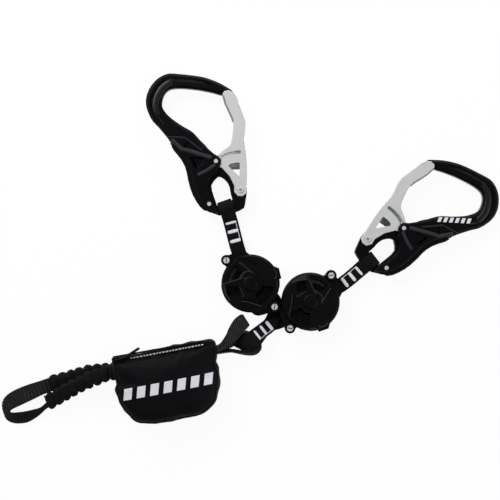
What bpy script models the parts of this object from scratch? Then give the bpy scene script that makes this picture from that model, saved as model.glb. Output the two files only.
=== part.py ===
import math

import bmesh
import bpy
from mathutils import Matrix, Vector

# Layout of the laid out lanyard, seen from above with the pouch centre at the origin
LAYOUT_SPAN = 0.100
WEB_LEVEL = 0.0077
WEB_WIDTH = 0.0128
PLY = 0.0016
RUNNING_GAP = 0.0003
OVERRUN = 0.0040
REEL_PLACE_SHARE = (-0.0125, 0.4802)
REEL_SPACING = 0.0039
REEL_SPACING_TURN = -16.9
REEL_TURN = {"left": 0.0, "right": -84.0}
BAR_PLACE_SHARES = {"left": (-0.2155, 1.1332), "right": (1.0105, 0.6712)}
CARABINER_TURN = {"left": 20.0, "right": -52.6}
CARABINER_FLIP = {"left": 0.0, "right": 180.0}

# Carabiner, local frame with the webbing bar at the origin and +Y towards the hook
CARABINER_SPAN = 0.100
BODY_THICKNESS = 0.0152
HOOK_THICKNESS = 0.0112
CORE_THICKNESS = 0.0082
CORNER_THICKNESS = 0.0112
GATE_THICKNESS = 0.0116
GATE_WALL = 0.0014
LEVER_THICKNESS = 0.0104
BAR_RADIUS = 0.0046
HOOK_CHAMFER = 0.0019
BODY_CHAMFER = 0.0011
HOOK_GROOVE_DEPTH = 0.0014
POCKET_DEPTH = 0.0024
PIN_RADIUS = 0.0012
PIVOT_RADIUS = 0.0019
RIVET_HEAD_RADIUS = 0.0024
RIVET_HEAD_HEIGHT = 0.0008
PIN_GAP = 0.00025
SPRING_WIRE = 0.0004
SPRING_COIL_RADIUS = 0.0030
SPRING_POCKET_DEPTH = 0.0034
LEVER_SPRING_RADIUS = 0.0011
LEVER_SPRING_LENGTH = 0.0034
LEVER_SPRING_SHARE = (-0.179, 0.336)
LEVER_LUG_SHARE = 0.040
NOSE_SHARE = (0.048, 0.403)
PIVOT_SHARE = (0.162, 0.100)
LEVER_PIVOT_SHARE = (-0.132, 0.078)
HOOK_SHARES = (
    (-0.215, 0.560), (-0.246, 0.620), (-0.262, 0.676), (-0.278, 0.740), (-0.318, 0.850), (-0.345, 0.910),
    (-0.356, 0.975), (-0.355, 1.046), (-0.338, 1.104), (-0.304, 1.157), (-0.254, 1.203), (-0.193, 1.237),
    (-0.130, 1.251), (-0.070, 1.248), (0.000, 1.218), (0.100, 1.170), (0.186, 1.123), (0.250, 1.075),
    (0.305, 1.025), (0.352, 0.970), (0.388, 0.914), (0.302, 0.912), (0.230, 0.960),
    (0.125, 1.025), (0.000, 1.086), (-0.080, 1.113), (-0.130, 1.115), (-0.170, 1.095), (-0.202, 1.060),
    (-0.225, 1.014), (-0.223, 0.970), (-0.202, 0.910), (-0.164, 0.846), (-0.114, 0.779), (-0.080, 0.740),
    (-0.050, 0.697), (-0.017, 0.616), (0.020, 0.530), (-0.020, 0.480), (-0.120, 0.480))
HOOK_GROOVE_SHARES = (
    ((-0.285, 0.850), (-0.318, 0.950), (-0.318, 1.045), (-0.285, 1.120), (-0.215, 1.185), (-0.130, 1.208),
     (-0.060, 1.198), (0.080, 1.138), (0.180, 1.085), (0.240, 1.040), (0.224, 1.024), (0.165, 1.064),
     (0.070, 1.117), (-0.066, 1.176), (-0.130, 1.184), (-0.202, 1.162), (-0.264, 1.104), (-0.293, 1.040),
     (-0.292, 0.955), (-0.262, 0.862)),)
BODY_SHARES = (
    (-0.085, -0.030), (-0.125, 0.010), (-0.158, 0.040), (-0.178, 0.085), (-0.189, 0.130), (-0.199, 0.195),
    (-0.200, 0.260), (-0.193, 0.335), (-0.183, 0.400), (-0.180, 0.450), (-0.186, 0.505), (-0.202, 0.560),
    (-0.224, 0.615), (-0.238, 0.670), (-0.276, 0.732), (-0.210, 0.715), (-0.140, 0.690), (-0.096, 0.622),
    (-0.050, 0.552), (0.004, 0.560), (0.024, 0.520), (0.055, 0.465), (0.085, 0.430), (0.093, 0.400),
    (0.080, 0.366), (0.040, 0.330), (0.020, 0.300), (-0.030, 0.290), (-0.078, 0.245), (-0.090, 0.180),
    (-0.092, 0.120), (-0.083, 0.050), (-0.078, 0.020))
CORE_SHARES = (
    (-0.150, 0.010), (-0.085, -0.045), (0.063, -0.064), (0.100, -0.062), (0.138, -0.056), (0.159, -0.025),
    (0.175, 0.006), (0.205, 0.060), (0.216, 0.100), (0.206, 0.134), (0.175, 0.159), (0.146, 0.180),
    (0.140, 0.250), (0.134, 0.330), (0.080, 0.400), (-0.020, 0.480), (-0.120, 0.400), (-0.120, 0.100))
CORNER_SHARES = (
    (0.066, -0.066), (0.100, -0.063), (0.138, -0.056), (0.159, -0.025), (0.175, 0.006), (0.190, 0.030),
    (0.150, 0.036), (0.100, 0.045), (0.068, 0.050))
EYE_SHARES = (
    (0.017, 0.272), (-0.030, 0.250), (-0.060, 0.225), (-0.071, 0.180), (-0.073, 0.120), (-0.075, 0.020),
    (-0.075, -0.080), (0.063, -0.080), (0.064, 0.020), (0.071, 0.100), (0.081, 0.155), (0.078, 0.195),
    (0.062, 0.233), (0.040, 0.262))
LEVER_SHARES = (
    (-0.158, 0.022), (-0.194, 0.042), (-0.215, 0.080), (-0.229, 0.130), (-0.239, 0.195), (-0.240, 0.260),
    (-0.233, 0.335), (-0.222, 0.400), (-0.219, 0.450), (-0.226, 0.505), (-0.242, 0.560), (-0.262, 0.612),
    (-0.268, 0.655), (-0.224, 0.662), (-0.216, 0.622), (-0.194, 0.563), (-0.178, 0.508), (-0.171, 0.450),
    (-0.174, 0.400), (-0.185, 0.335), (-0.192, 0.260), (-0.191, 0.195), (-0.181, 0.130), (-0.168, 0.085))
LEVER_SLOT_SHARES = (
    (-0.120, 0.026), (-0.160, 0.010), (-0.300, -0.020), (-0.340, 0.300), (-0.340, 0.676), (-0.255, 0.676),
    (-0.170, 0.670), (-0.150, 0.575), (-0.133, 0.510), (-0.125, 0.450), (-0.128, 0.400), (-0.138, 0.335),
    (-0.144, 0.260), (-0.142, 0.195), (-0.128, 0.140), (-0.096, 0.112), (-0.086, 0.078), (-0.096, 0.044))
FORK_POLAR_SHARES = (
    (60.0, 0.402), (85.0, 0.402), (104.0, 0.402), (104.5, 0.386), (114.0, 0.384), (114.5, 0.369),
    (122.0, 0.369), (130.0, 0.369), (138.5, 0.369), (138.5, 0.150), (120.0, 0.050))
POCKET_SHARES = (
    ((-0.140, 0.400), (-0.148, 0.512), (-0.030, 0.462), (-0.068, 0.418)),
    ((-0.185, 0.606), (-0.062, 0.540), (-0.128, 0.655)))
GATE_SHARES = (
    (0.200, 0.056), (0.222, 0.125), (0.250, 0.200), (0.278, 0.275), (0.297, 0.338), (0.310, 0.400),
    (0.320, 0.450), (0.330, 0.500), (0.352, 0.540), (0.380, 0.595), (0.396, 0.635), (0.396, 0.700),
    (0.395, 0.750), (0.393, 0.810), (0.397, 0.850), (0.385, 0.907), (0.360, 0.938), (0.320, 0.944),
    (0.298, 0.925), (0.291, 0.840), (0.296, 0.780), (0.303, 0.700), (0.296, 0.650), (0.280, 0.610),
    (0.250, 0.550), (0.222, 0.505), (0.195, 0.487), (0.150, 0.473), (0.095, 0.455), (0.060, 0.440),
    (0.030, 0.434), (0.014, 0.410), (0.020, 0.378), (0.050, 0.353), (0.075, 0.331), (0.090, 0.296),
    (0.113, 0.238), (0.122, 0.150), (0.104, 0.100), (0.122, 0.056), (0.160, 0.042))
GATE_HOLLOW_SHARES = (
    (0.190, 0.020), (0.240, 0.060), (0.240, 0.118), (0.209, 0.130), (0.237, 0.204), (0.265, 0.280),
    (0.283, 0.340), (0.296, 0.402), (0.306, 0.452), (0.316, 0.504), (0.339, 0.548), (0.367, 0.602),
    (0.382, 0.640), (0.382, 0.700), (0.381, 0.750), (0.379, 0.810), (0.382, 0.850), (0.381, 0.885),
    (0.440, 0.885), (0.440, 1.000), (0.100, 1.000), (0.100, 0.560), (-0.060, 0.480), (-0.060, 0.020))
GATE_WINDOW_SHARES = (
    (0.133, 0.325), (0.148, 0.339), (0.181, 0.337), (0.229, 0.325), (0.232, 0.312), (0.216, 0.270),
    (0.194, 0.212), (0.150, 0.290))
GATE_SLOT_ANGLES = (111.0, 72.0)
GATE_SHOULDER_SHARES = (
    (60.0, 0.862), (66.0, 0.862), (72.0, 0.862), (76.0, 0.862), (80.0, 0.862), (84.0, 0.862), (90.0, 0.862),
    (90.0, 0.780), (60.0, 0.780))

# Reel, local frame with the axle at the origin
REEL_RADIUS = 0.0249
REEL_THICKNESS = 0.0190
REEL_WALL = 0.0018
REEL_EDGE = 0.0016
SCREW_CIRCLE = 0.0286
SCREW_ANGLES = (136.0, -44.0)
SCREW_EAR_RADIUS = 0.0039
SCREW_HEAD_RADIUS = 0.0030
SCREW_HEAD_HEIGHT = 0.0018
SCREW_SHANK_RADIUS = 0.0013
EAR_HEIGHT = 0.0168
MOUTH_ANGLES = (111.0, -60.0)
MOUTH_RADIUS = 0.0265
MOUTH_CLEARANCE = 0.0005
TAB_SHARES = ((0.78, 0.60), (0.98, 0.52), (1.06, 0.18), (0.98, 0.13), (0.70, 0.13))
WINDOW_SHARES = ((-0.80, -0.10), (-0.80, -0.42), (-0.42, -0.42), (-0.32, -0.10))
SLOT_WINDOW_SHARES = (
    ((-0.46, 0.88), (-0.36, 0.92), (0.30, 0.66), (0.30, 0.56), (0.18, 0.52), (-0.42, 0.74)),
    ((0.46, -0.88), (0.36, -0.92), (-0.30, -0.66), (-0.30, -0.56), (-0.18, -0.52), (0.42, -0.74)))
SECTOR_WINDOWS = ((128.0, 164.0), (292.0, 352.0))
SECTOR_RADII_SHARES = (0.40, 0.80)
HUB_RADIUS = 0.0098
HUB_WALL = 0.0012
FLANGE_RADIUS = 0.0216
FLANGE_THICKNESS = 0.0008
AXLE_RADIUS = 0.0020
TAPE_THICKNESS = 0.0014
TAPE_PITCH = 0.0020
TAPE_TURNS = 5.0
MAINSPRING_THICKNESS = 0.0003
MAINSPRING_TURNS = 3.0
CAP_GROOVE = 0.0006

# Pouch, local frame turned with the pouch, back face on the ground
POUCH_SPAN = 0.100
POUCH_TURN = 10.0
POUCH_HEIGHT = 0.0300
POUCH_WALL = 0.0020
POUCH_SHARES = (
    (-0.395, 0.300), (-0.405, 0.250), (-0.408, 0.110), (-0.402, 0.070), (-0.418, 0.040), (-0.423, 0.005),
    (-0.409, -0.086), (-0.382, -0.168), (-0.336, -0.232), (-0.295, -0.282), (-0.264, -0.300),
    (-0.155, -0.323), (-0.010, -0.326), (0.127, -0.323), (0.277, -0.323), (0.309, -0.309), (0.373, -0.268),
    (0.427, -0.223), (0.455, -0.150), (0.486, -0.059), (0.498, 0.005), (0.491, 0.068), (0.480, 0.114),
    (0.498, 0.159), (0.506, 0.214), (0.503, 0.270), (0.470, 0.300), (0.400, 0.309), (0.250, 0.307),
    (0.100, 0.306), (0.000, 0.300), (-0.127, 0.292), (-0.236, 0.294), (-0.320, 0.306))
POUCH_LAYER_SHARES = (
    (0.90, 0.000), (0.965, 0.040), (0.992, 0.150), (1.000, 0.330), (0.992, 0.560), (0.950, 0.740),
    (0.860, 0.870), (0.700, 0.950), (0.450, 0.990))
CAVITY_LAYER_SHARES = ((0.800, 0.090), (0.880, 0.200), (0.880, 0.500), (0.760, 0.740), (0.550, 0.840))
CAVITY_SHIFT_SHARE = -0.030
ZIP_LEDGE_SHARES = (-0.420, 0.420, 0.246, 0.400)
ZIP_LEDGE_LEVEL = 0.0200
ZIP_SHARES = (-0.385, 0.395, 0.252, 0.292)
ZIP_THICKNESS = 0.0012
SLIDER_SHARES = (-0.395, -0.300, 0.250, 0.306)
SLIDER_HEIGHT = 0.0026
ZIP_PULL_RADIUS = 0.0008
ZIP_PULL_SHARES = ((-0.340, 0.276), (-0.290, 0.286), (-0.230, 0.308), (-0.164, 0.330))
ABSORBER_SHARES = (-0.230, 0.290, -0.180, 0.110)
ABSORBER_LEVELS = (0.0036, 0.0200)
LEFT_MOUTH_SHARES = (-0.480, -0.340, 0.092, 0.262)
LEFT_MOUTH_LEVELS = (0.0008, 0.0168)
RIGHT_MOUTH_SHARES = (0.400, 0.560, 0.150, 0.238)
RIGHT_MOUTH_LEVELS = (0.0016, 0.0210)

# Absorber tail, rest loop and main webbing
TAIL_WIDTH = 0.0106
TAIL_SHARES = (
    (0.440, 0.168), (0.600, 0.168), (0.690, 0.151), (0.760, 0.130), (0.815, 0.124), (0.852, 0.140),
    (0.855, 0.166), (0.819, 0.225), (0.783, 0.287), (0.765, 0.302), (0.735, 0.298), (0.690, 0.264),
    (0.640, 0.230), (0.560, 0.207), (0.440, 0.206))
TRUNK_CROSS_SHARE = (0.809, 0.243)
TRUNK_HEADING = 40.2
JUNCTION_SHARE = (0.1825, 0.1432)
TRUNK_BORE = 0.0058
REST_LOOP_LEVEL = 0.0136
REST_LOOP_THICKNESS = 0.0026
REST_RIM_SHARES = (
    ((0.470, 0.206), (0.535, 0.232), (0.610, 0.314), (0.696, 0.416), (0.734, 0.450), (0.754, 0.460)),
    ((0.470, 0.172), (0.540, 0.180), (0.610, 0.232), (0.706, 0.292), (0.760, 0.322), (0.780, 0.335)))
LEG_BREAK = {"left": 0.0095, "right": 0.0070}
SEAM_STEP = {"left": 0.00016, "right": 0.00034}
SEWN_LENGTH = {"left": 0.0305, "right": 0.0262}

# Tie-in loop, local frame beside the pouch
TIE_SPAN = 0.100
TIE_OFFSET = 0.08925
TIE_THICKNESS = 0.0017
TIE_OUTER_SHARES = (
    (-0.088, 0.050, 0.042), (-0.200, 0.011, 0.020), (-0.300, -0.021, 0.012), (-0.400, -0.064, 0.010),
    (-0.464, -0.107, 0.010), (-0.496, -0.157, 0.010), (-0.500, -0.200, 0.010), (-0.479, -0.257, 0.010),
    (-0.457, -0.300, 0.010), (-0.400, -0.325, 0.010), (-0.307, -0.325, 0.010), (-0.236, -0.293, 0.020),
    (-0.179, -0.243, 0.042), (-0.132, -0.210, 0.070))
TIE_INNER_SHARES = (
    (-0.060, -0.055, 0.042), (-0.150, -0.079, 0.066), (-0.250, -0.126, 0.082), (-0.340, -0.163, 0.086),
    (-0.392, -0.190, 0.086), (-0.421, -0.208, 0.086), (-0.425, -0.219, 0.086), (-0.421, -0.227, 0.086),
    (-0.407, -0.232, 0.086), (-0.360, -0.228, 0.086), (-0.300, -0.221, 0.084), (-0.245, -0.215, 0.080),
    (-0.193, -0.200, 0.074), (-0.122, -0.135, 0.070))
GATHER_SHARES = {
    "gather_upper": (
        (-0.066, -0.004, 0.042), (0.000, 0.020, 0.040), (0.100, 0.045, 0.040), (0.200, 0.075, 0.040),
        (0.300, 0.093, 0.040), (0.400, 0.104, 0.042), (0.500, 0.112, 0.044)),
    "gather_lower": (
        (-0.104, -0.160, 0.070), (-0.030, -0.122, 0.086), (0.040, -0.080, 0.108), (0.120, -0.035, 0.122),
        (0.200, 0.005, 0.124), (0.300, 0.050, 0.124), (0.400, 0.085, 0.124), (0.500, 0.108, 0.124))}
GATHER_LOBES = 7
GATHER_HALF_WIDTH = 0.0066
GATHER_HALF_HEIGHT = 0.0034
GATHER_SWELL_SHARE = 0.17


def clear_scene():
    for item in list(bpy.data.objects):
        bpy.data.objects.remove(item)
    for mesh in list(bpy.data.meshes):
        bpy.data.meshes.remove(mesh)


def make_material(name, colour, metallic, roughness):
    material = bpy.data.materials.new(name)
    material.use_nodes = True
    shader = material.node_tree.nodes["Principled BSDF"]
    shader.inputs["Base Color"].default_value = (*colour, 1.0)
    shader.inputs["Metallic"].default_value = metallic
    shader.inputs["Roughness"].default_value = roughness
    material.diffuse_color = (*colour, 1.0)
    return material


def scaled(shares, size):
    return [tuple(value * size for value in point) for point in shares]


def polar(radius, degrees):
    angle = math.radians(degrees)
    return radius * math.cos(angle), radius * math.sin(angle)


def strap_crossing():
    turn = Matrix.Rotation(math.radians(POUCH_TURN), 2)
    return turn @ Vector([value * POUCH_SPAN for value in TRUNK_CROSS_SHARE])


def laid_out(share):
    return strap_crossing() + Vector([value * LAYOUT_SPAN for value in share])


def reel_place(side):
    left = laid_out(REEL_PLACE_SHARE)
    if side == "left":
        return left
    return left + Vector(polar(REEL_RADIUS * 2 + REEL_SPACING, REEL_SPACING_TURN))


def smooth(points, steps, closed=True):
    count = len(points)
    result = []
    spans = count if closed else count - 1
    for index in range(spans):
        if closed:
            p0, p1, p2, p3 = (Vector(points[(index + k) % count]) for k in (-1, 0, 1, 2))
        else:
            p0, p1, p2, p3 = (Vector(points[min(max(index + k, 0), count - 1)]) for k in (-1, 0, 1, 2))
        for step in range(steps):
            t = step / steps
            point = (p1 * 2 + (p2 - p0) * t + (p0 * 2 - p1 * 5 + p2 * 4 - p3) * t * t
                     + (p1 * 3 - p0 - p2 * 3 + p3) * t * t * t) / 2
            result.append(tuple(point))
    if not closed:
        result.append(tuple(points[-1]))
    return result


def signed_area(points):
    total = 0.0
    for index, point in enumerate(points):
        following = points[(index + 1) % len(points)]
        total += point[0] * following[1] - following[0] * point[1]
    return total / 2


def inset(points, amount):
    count = len(points)
    side = 1.0 if signed_area(points) > 0 else -1.0
    result = []
    for index in range(count):
        before = Vector(points[index - 1][:2])
        here = Vector(points[index][:2])
        after = Vector(points[(index + 1) % count][:2])
        first = (here - before).normalized()
        second = (after - here).normalized()
        normal = Vector((-first.y - second.y, first.x + second.x)).normalized() * side
        result.append(tuple(here + normal * amount))
    return result


def object_from(bm, name):
    bmesh.ops.remove_doubles(bm, verts=bm.verts, dist=1e-7)
    bmesh.ops.recalc_face_normals(bm, faces=bm.faces)
    mesh = bpy.data.meshes.new(name)
    bm.to_mesh(mesh)
    bm.free()
    item = bpy.data.objects.new(name, mesh)
    bpy.context.collection.objects.link(item)
    return item


def layered(layers, name="tool"):
    bm = bmesh.new()
    rings = [[bm.verts.new(point) for point in layer] for layer in layers]
    count = len(rings[0])
    for lower, upper in zip(rings, rings[1:]):
        for index in range(count):
            after = (index + 1) % count
            bm.faces.new((lower[index], lower[after], upper[after], upper[index]))
    bm.faces.new(list(reversed(rings[0])))
    bm.faces.new(rings[-1])
    return object_from(bm, name)


def prism(outline, low, high, name="tool"):
    return layered([[(x, y, level) for x, y in outline] for level in (low, high)], name)


def chamfered(outline, low, high, chamfer, name="tool"):
    small = inset(outline, chamfer)
    stack = ((small, low), (outline, low + chamfer), (outline, high - chamfer), (small, high))
    return layered([[(x, y, level) for x, y in ring] for ring, level in stack], name)


def circle(centre, radius, sides=24):
    return [(centre[0] + radius * math.cos(math.tau * k / sides), centre[1] + radius * math.sin(math.tau * k / sides))
            for k in range(sides)]


def disc(centre, radius, low, high, sides=24, name="tool"):
    return prism(circle(centre, radius, sides), low, high, name)


def rectangle(shares, size):
    left, right, bottom, top = (value * size for value in shares)
    return [(left, bottom), (right, bottom), (right, top), (left, top)]


def turned_box(centre, heading, length, width, low, high):
    along = Vector(polar(1.0, heading))
    across = Vector((-along.y, along.x))
    corners = []
    for lengthwise, sideways in ((-1, -1), (1, -1), (1, 1), (-1, 1)):
        corners.append(tuple(Vector(centre) + along * lengthwise * length / 2 + across * sideways * width / 2))
    return prism(corners, low, high)


def turned_profile(profile, sides, name="tool"):
    layers = []
    for radius, level in profile:
        layers.append([(x, y, level) for x, y in circle((0.0, 0.0), radius, sides)])
    return layered(layers, name)


def convex_hull(points):
    ordered = sorted(set(points))
    halves = []
    for sequence in (ordered, list(reversed(ordered))):
        chain = []
        for point in sequence:
            while len(chain) > 1 and turn_of(chain[-2], chain[-1], point) <= 0:
                chain.pop()
            chain.append(point)
        halves.append(chain[:-1])
    return halves[0] + halves[1]


def turn_of(a, b, c):
    return (b[0] - a[0]) * (c[1] - a[1]) - (b[1] - a[1]) * (c[0] - a[0])


def combine(base, tools, operation, solver="EXACT"):
    for tool in tools:
        modifier = base.modifiers.new("boolean", "BOOLEAN")
        modifier.solver = solver
        modifier.operation = operation
        modifier.object = tool
        bpy.context.view_layer.update()
        depsgraph = bpy.context.evaluated_depsgraph_get()
        result = bpy.data.meshes.new_from_object(base.evaluated_get(depsgraph))
        base.modifiers.clear()
        base.data = result
        bpy.data.objects.remove(tool)
    return base


def fuse(base, tools):
    return combine(base, tools, "UNION")


def cut(base, tools):
    return combine(base, tools, "DIFFERENCE")


def place(item, name, frame, material, origin=(0.0, 0.0, 0.0), smooth_angle=35.0):
    item.name = name
    item.data.name = name
    pivot = Vector((origin[0], origin[1], origin[2] if len(origin) > 2 else 0.0))
    item.data.transform(Matrix.Translation(-pivot))
    item.matrix_world = frame @ Matrix.Translation(pivot)
    item.data.materials.clear()
    item.data.materials.append(material)
    item.data.polygons.foreach_set("use_smooth", [True] * len(item.data.polygons))
    item.data.set_sharp_from_angle(angle=math.radians(smooth_angle))
    return item


def wall_along(path, thickness, low, high, name="tool"):
    bm = bmesh.new()
    rows = []
    for index, point in enumerate(path):
        before = Vector(path[max(index - 1, 0)][:2])
        after = Vector(path[min(index + 1, len(path) - 1)][:2])
        along = (after - before).normalized()
        across = Vector((-along.y, along.x)) * thickness / 2
        here = Vector(point[:2])
        left, right = here + across, here - across
        rows.append([bm.verts.new((*left, low)), bm.verts.new((*right, low)), bm.verts.new((*right, high)),
                     bm.verts.new((*left, high))])
    return object_from(close_rows(bm, rows), name)


def band_between(rim_a, rim_b, thickness, name="tool"):
    bm = bmesh.new()
    rows = []
    count = len(rim_a)
    for index in range(count):
        a, b = Vector(rim_a[index]), Vector(rim_b[index])
        low, high = max(index - 1, 0), min(index + 1, count - 1)
        along = (Vector(rim_a[high]) + Vector(rim_b[high]) - Vector(rim_a[low]) - Vector(rim_b[low])) / 2
        normal = along.cross(b - a).normalized() * thickness / 2
        if normal.z < 0:
            normal = -normal
        rows.append([bm.verts.new(a - normal), bm.verts.new(b - normal), bm.verts.new(b + normal),
                     bm.verts.new(a + normal)])
    return object_from(close_rows(bm, rows), name)


def close_rows(bm, rows):
    count = len(rows[0])
    for first, second in zip(rows, rows[1:]):
        for index in range(count):
            after = (index + 1) % count
            bm.faces.new((first[index], first[after], second[after], second[index]))
    bm.faces.new(list(reversed(rows[0])))
    bm.faces.new(rows[-1])
    return bm


def tube_along(path, radius, sides, name="tool"):
    bm = bmesh.new()
    rows = []
    for index, point in enumerate(path):
        before = Vector(path[max(index - 1, 0)])
        after = Vector(path[min(index + 1, len(path) - 1)])
        along = (after - before).normalized()
        side = along.cross(Vector((0.0, 0.0, 1.0)))
        side = side.normalized() if side.length > 0.1 else Vector((1.0, 0.0, 0.0))
        lift = side.cross(along).normalized()
        row = []
        for k in range(sides):
            angle = math.tau * k / sides
            row.append(bm.verts.new(Vector(point) + side * radius * math.cos(angle) + lift * radius * math.sin(angle)))
        rows.append(row)
    return object_from(close_rows(bm, rows), name)


def bezier_path(start, start_heading, end, end_heading, samples):
    a, d = Vector(start), Vector(end)
    reach = (d - a).length / 3
    b = a + Vector(polar(1.0, start_heading)) * reach
    c = d - Vector(polar(1.0, end_heading)) * reach
    points = []
    for k in range(samples + 1):
        t = k / samples
        u = 1 - t
        points.append(a * u ** 3 + b * 3 * u * u * t + c * 3 * u * t * t + d * t ** 3)
    return points


def path_point(points, distance):
    travelled = 0.0
    for first, second in zip(points, points[1:]):
        step = (second - first).length
        if travelled + step >= distance or second is points[-1]:
            along = (second - first).normalized()
            return first + along * (distance - travelled), along
        travelled += step
    return points[-1], Vector((1.0, 0.0))


def path_length(points):
    return sum((b - a).length for a, b in zip(points, points[1:]))


def mapped(points, distance, sideways, level):
    centre, along = path_point(points, distance)
    across = Vector((-along.y, along.x))
    spot = centre + across * sideways
    return spot.x, spot.y, level


def strap_run(points, start, end, width, thickness, level, stations, name="tool"):
    rims = ([], [])
    for k in range(stations + 1):
        distance = start + (end - start) * k / stations
        for rim, side in zip(rims, (-1, 1)):
            rim.append(mapped(points, distance, side * width / 2, level))
    return band_between(rims[0], rims[1], thickness, name)


def eye_strap(points, bore, neck, end, width, ply, level, stations, name="tool"):
    bm = bmesh.new()
    outer_radius = bore + ply
    arc = 12
    start_angle = math.acos(outer_radius / (neck + outer_radius)) + math.pi / 12
    outer, inner = [(neck, ply)], [(neck - ply, ply / 8)]
    for k in range(arc + 1):
        angle = start_angle + (math.tau - 2 * start_angle) * k / arc
        outer.append((outer_radius * math.cos(angle), outer_radius * math.sin(angle)))
        inner.append((bore * math.cos(angle), bore * math.sin(angle)))
    outer.append((neck, -ply))
    inner.append((neck - ply, -ply / 8))
    tail = []
    for k in range(1, stations + 1):
        distance = neck + (end - neck) * k / stations
        tail.append(((distance, ply), (distance, -ply)))
    sides = []
    for side in (-1, 1):
        def spot(pair):
            return bm.verts.new(mapped(points, pair[0], side * width / 2, level + pair[1]))
        sides.append(([spot(p) for p in outer], [spot(p) for p in inner], [(spot(a), spot(b)) for a, b in tail]))
    for rims in sides:
        out, inn, run = rims
        for k in range(len(out)):
            after = (k + 1) % len(out)
            bm.faces.new((out[k], out[after], inn[after], inn[k]))
        pairs = [(out[0], out[-1])] + run
        for first, second in zip(pairs, pairs[1:]):
            bm.faces.new((first[0], second[0], second[1], first[1]))
    (out_a, inn_a, run_a), (out_b, inn_b, run_b) = sides
    for k in range(len(out_a) - 1):
        bm.faces.new((out_a[k], out_b[k], out_b[k + 1], out_a[k + 1]))
    for k in range(len(inn_a)):
        after = (k + 1) % len(inn_a)
        bm.faces.new((inn_a[k], inn_a[after], inn_b[after], inn_b[k]))
    pairs_a = [(out_a[0], out_a[-1])] + run_a
    pairs_b = [(out_b[0], out_b[-1])] + run_b
    for k in range(len(pairs_a) - 1):
        for end_index in (0, 1):
            bm.faces.new((pairs_a[k][end_index], pairs_b[k][end_index], pairs_b[k + 1][end_index],
                          pairs_a[k + 1][end_index]))
    bm.faces.new((pairs_a[-1][0], pairs_b[-1][0], pairs_b[-1][1], pairs_a[-1][1]))
    return object_from(bm, name)


def both_faces(outline, near, far):
    return [prism(outline, near, far), prism(outline, -far, -near)]


def rivet(centre, shank_radius, half_length, name="tool"):
    head = RIVET_HEAD_HEIGHT
    shank = disc(centre, shank_radius, head / 2 - half_length, half_length - head / 2, 10, name)
    ends = [disc(centre, RIVET_HEAD_RADIUS, half_length - head, half_length, 12),
            disc(centre, RIVET_HEAD_RADIUS, -half_length, head - half_length, 12)]
    return fuse(shank, ends)


def polar_region(centre, polar_shares, size):
    outline = []
    for degrees, share in polar_shares:
        x, y = polar(share * size, degrees)
        outline.append((centre[0] + x, centre[1] + y))
    return outline


def build_frame(nose, pivot, lever_pivot):
    span = CARABINER_SPAN
    body_half, core_half = BODY_THICKNESS / 2, CORE_THICKNESS / 2
    frame = chamfered(smooth(scaled(HOOK_SHARES, span), 2), -HOOK_THICKNESS / 2, HOOK_THICKNESS / 2, HOOK_CHAMFER)
    body = chamfered(smooth(scaled(BODY_SHARES, span), 1), -body_half, body_half, BODY_CHAMFER)
    core = prism(scaled(CORE_SHARES, span), -core_half, core_half)
    corner = prism(scaled(CORNER_SHARES, span), -CORNER_THICKNESS / 2, CORNER_THICKNESS / 2)
    frame = fuse(frame, [body, core, corner])
    eye = prism(smooth(scaled(EYE_SHARES, span), 1), -body_half - OVERRUN, body_half + OVERRUN)
    frame = cut(frame, [eye])
    bar = disc((0.0, 0.0), BAR_RADIUS, -WEB_WIDTH / 2 - OVERRUN / 2, WEB_WIDTH / 2 + OVERRUN / 2, 20)
    bar.data.transform(Matrix.Rotation(math.pi / 2, 4, "Y"))
    frame = fuse(frame, [bar])
    gap = RUNNING_GAP
    gate_half = GATE_THICKNESS / 2
    fork = polar_region(pivot, ((0.0, 0.0),) + FORK_POLAR_SHARES, span)
    shoulder_zone = polar_region(pivot, GATE_SHOULDER_SHARES, span)
    tools = both_faces(fork, core_half, gate_half + gap)
    tools += both_faces(shoulder_zone, core_half, body_half + OVERRUN)
    slot_half = LEVER_THICKNESS / 2 + gap
    tools.append(prism(scaled(LEVER_SLOT_SHARES, span), -slot_half, slot_half))
    for pocket in POCKET_SHARES:
        tools += both_faces(scaled(pocket, span), body_half - POCKET_DEPTH, body_half + OVERRUN)
    for groove in HOOK_GROOVE_SHARES:
        hook_half = HOOK_THICKNESS / 2
        tools += both_faces(smooth(scaled(groove, span), 1), hook_half - HOOK_GROOVE_DEPTH, hook_half + OVERRUN)
    for centre, radius in ((nose, PIN_RADIUS), (lever_pivot, PIN_RADIUS), (pivot, PIVOT_RADIUS)):
        tools.append(disc(centre, radius + PIN_GAP, -body_half - OVERRUN, body_half + OVERRUN, 10))
    for centre in (nose, lever_pivot):
        tools += both_faces(circle(centre, RIVET_HEAD_RADIUS + gap, 12), body_half - RIVET_HEAD_HEIGHT - gap,
                            body_half + OVERRUN)
    pocket_floor = core_half - SPRING_POCKET_DEPTH
    tools.append(disc(pivot, SPRING_COIL_RADIUS + SPRING_WIRE * 2, pocket_floor, core_half + OVERRUN, 14))
    return cut(frame, tools)


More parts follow.
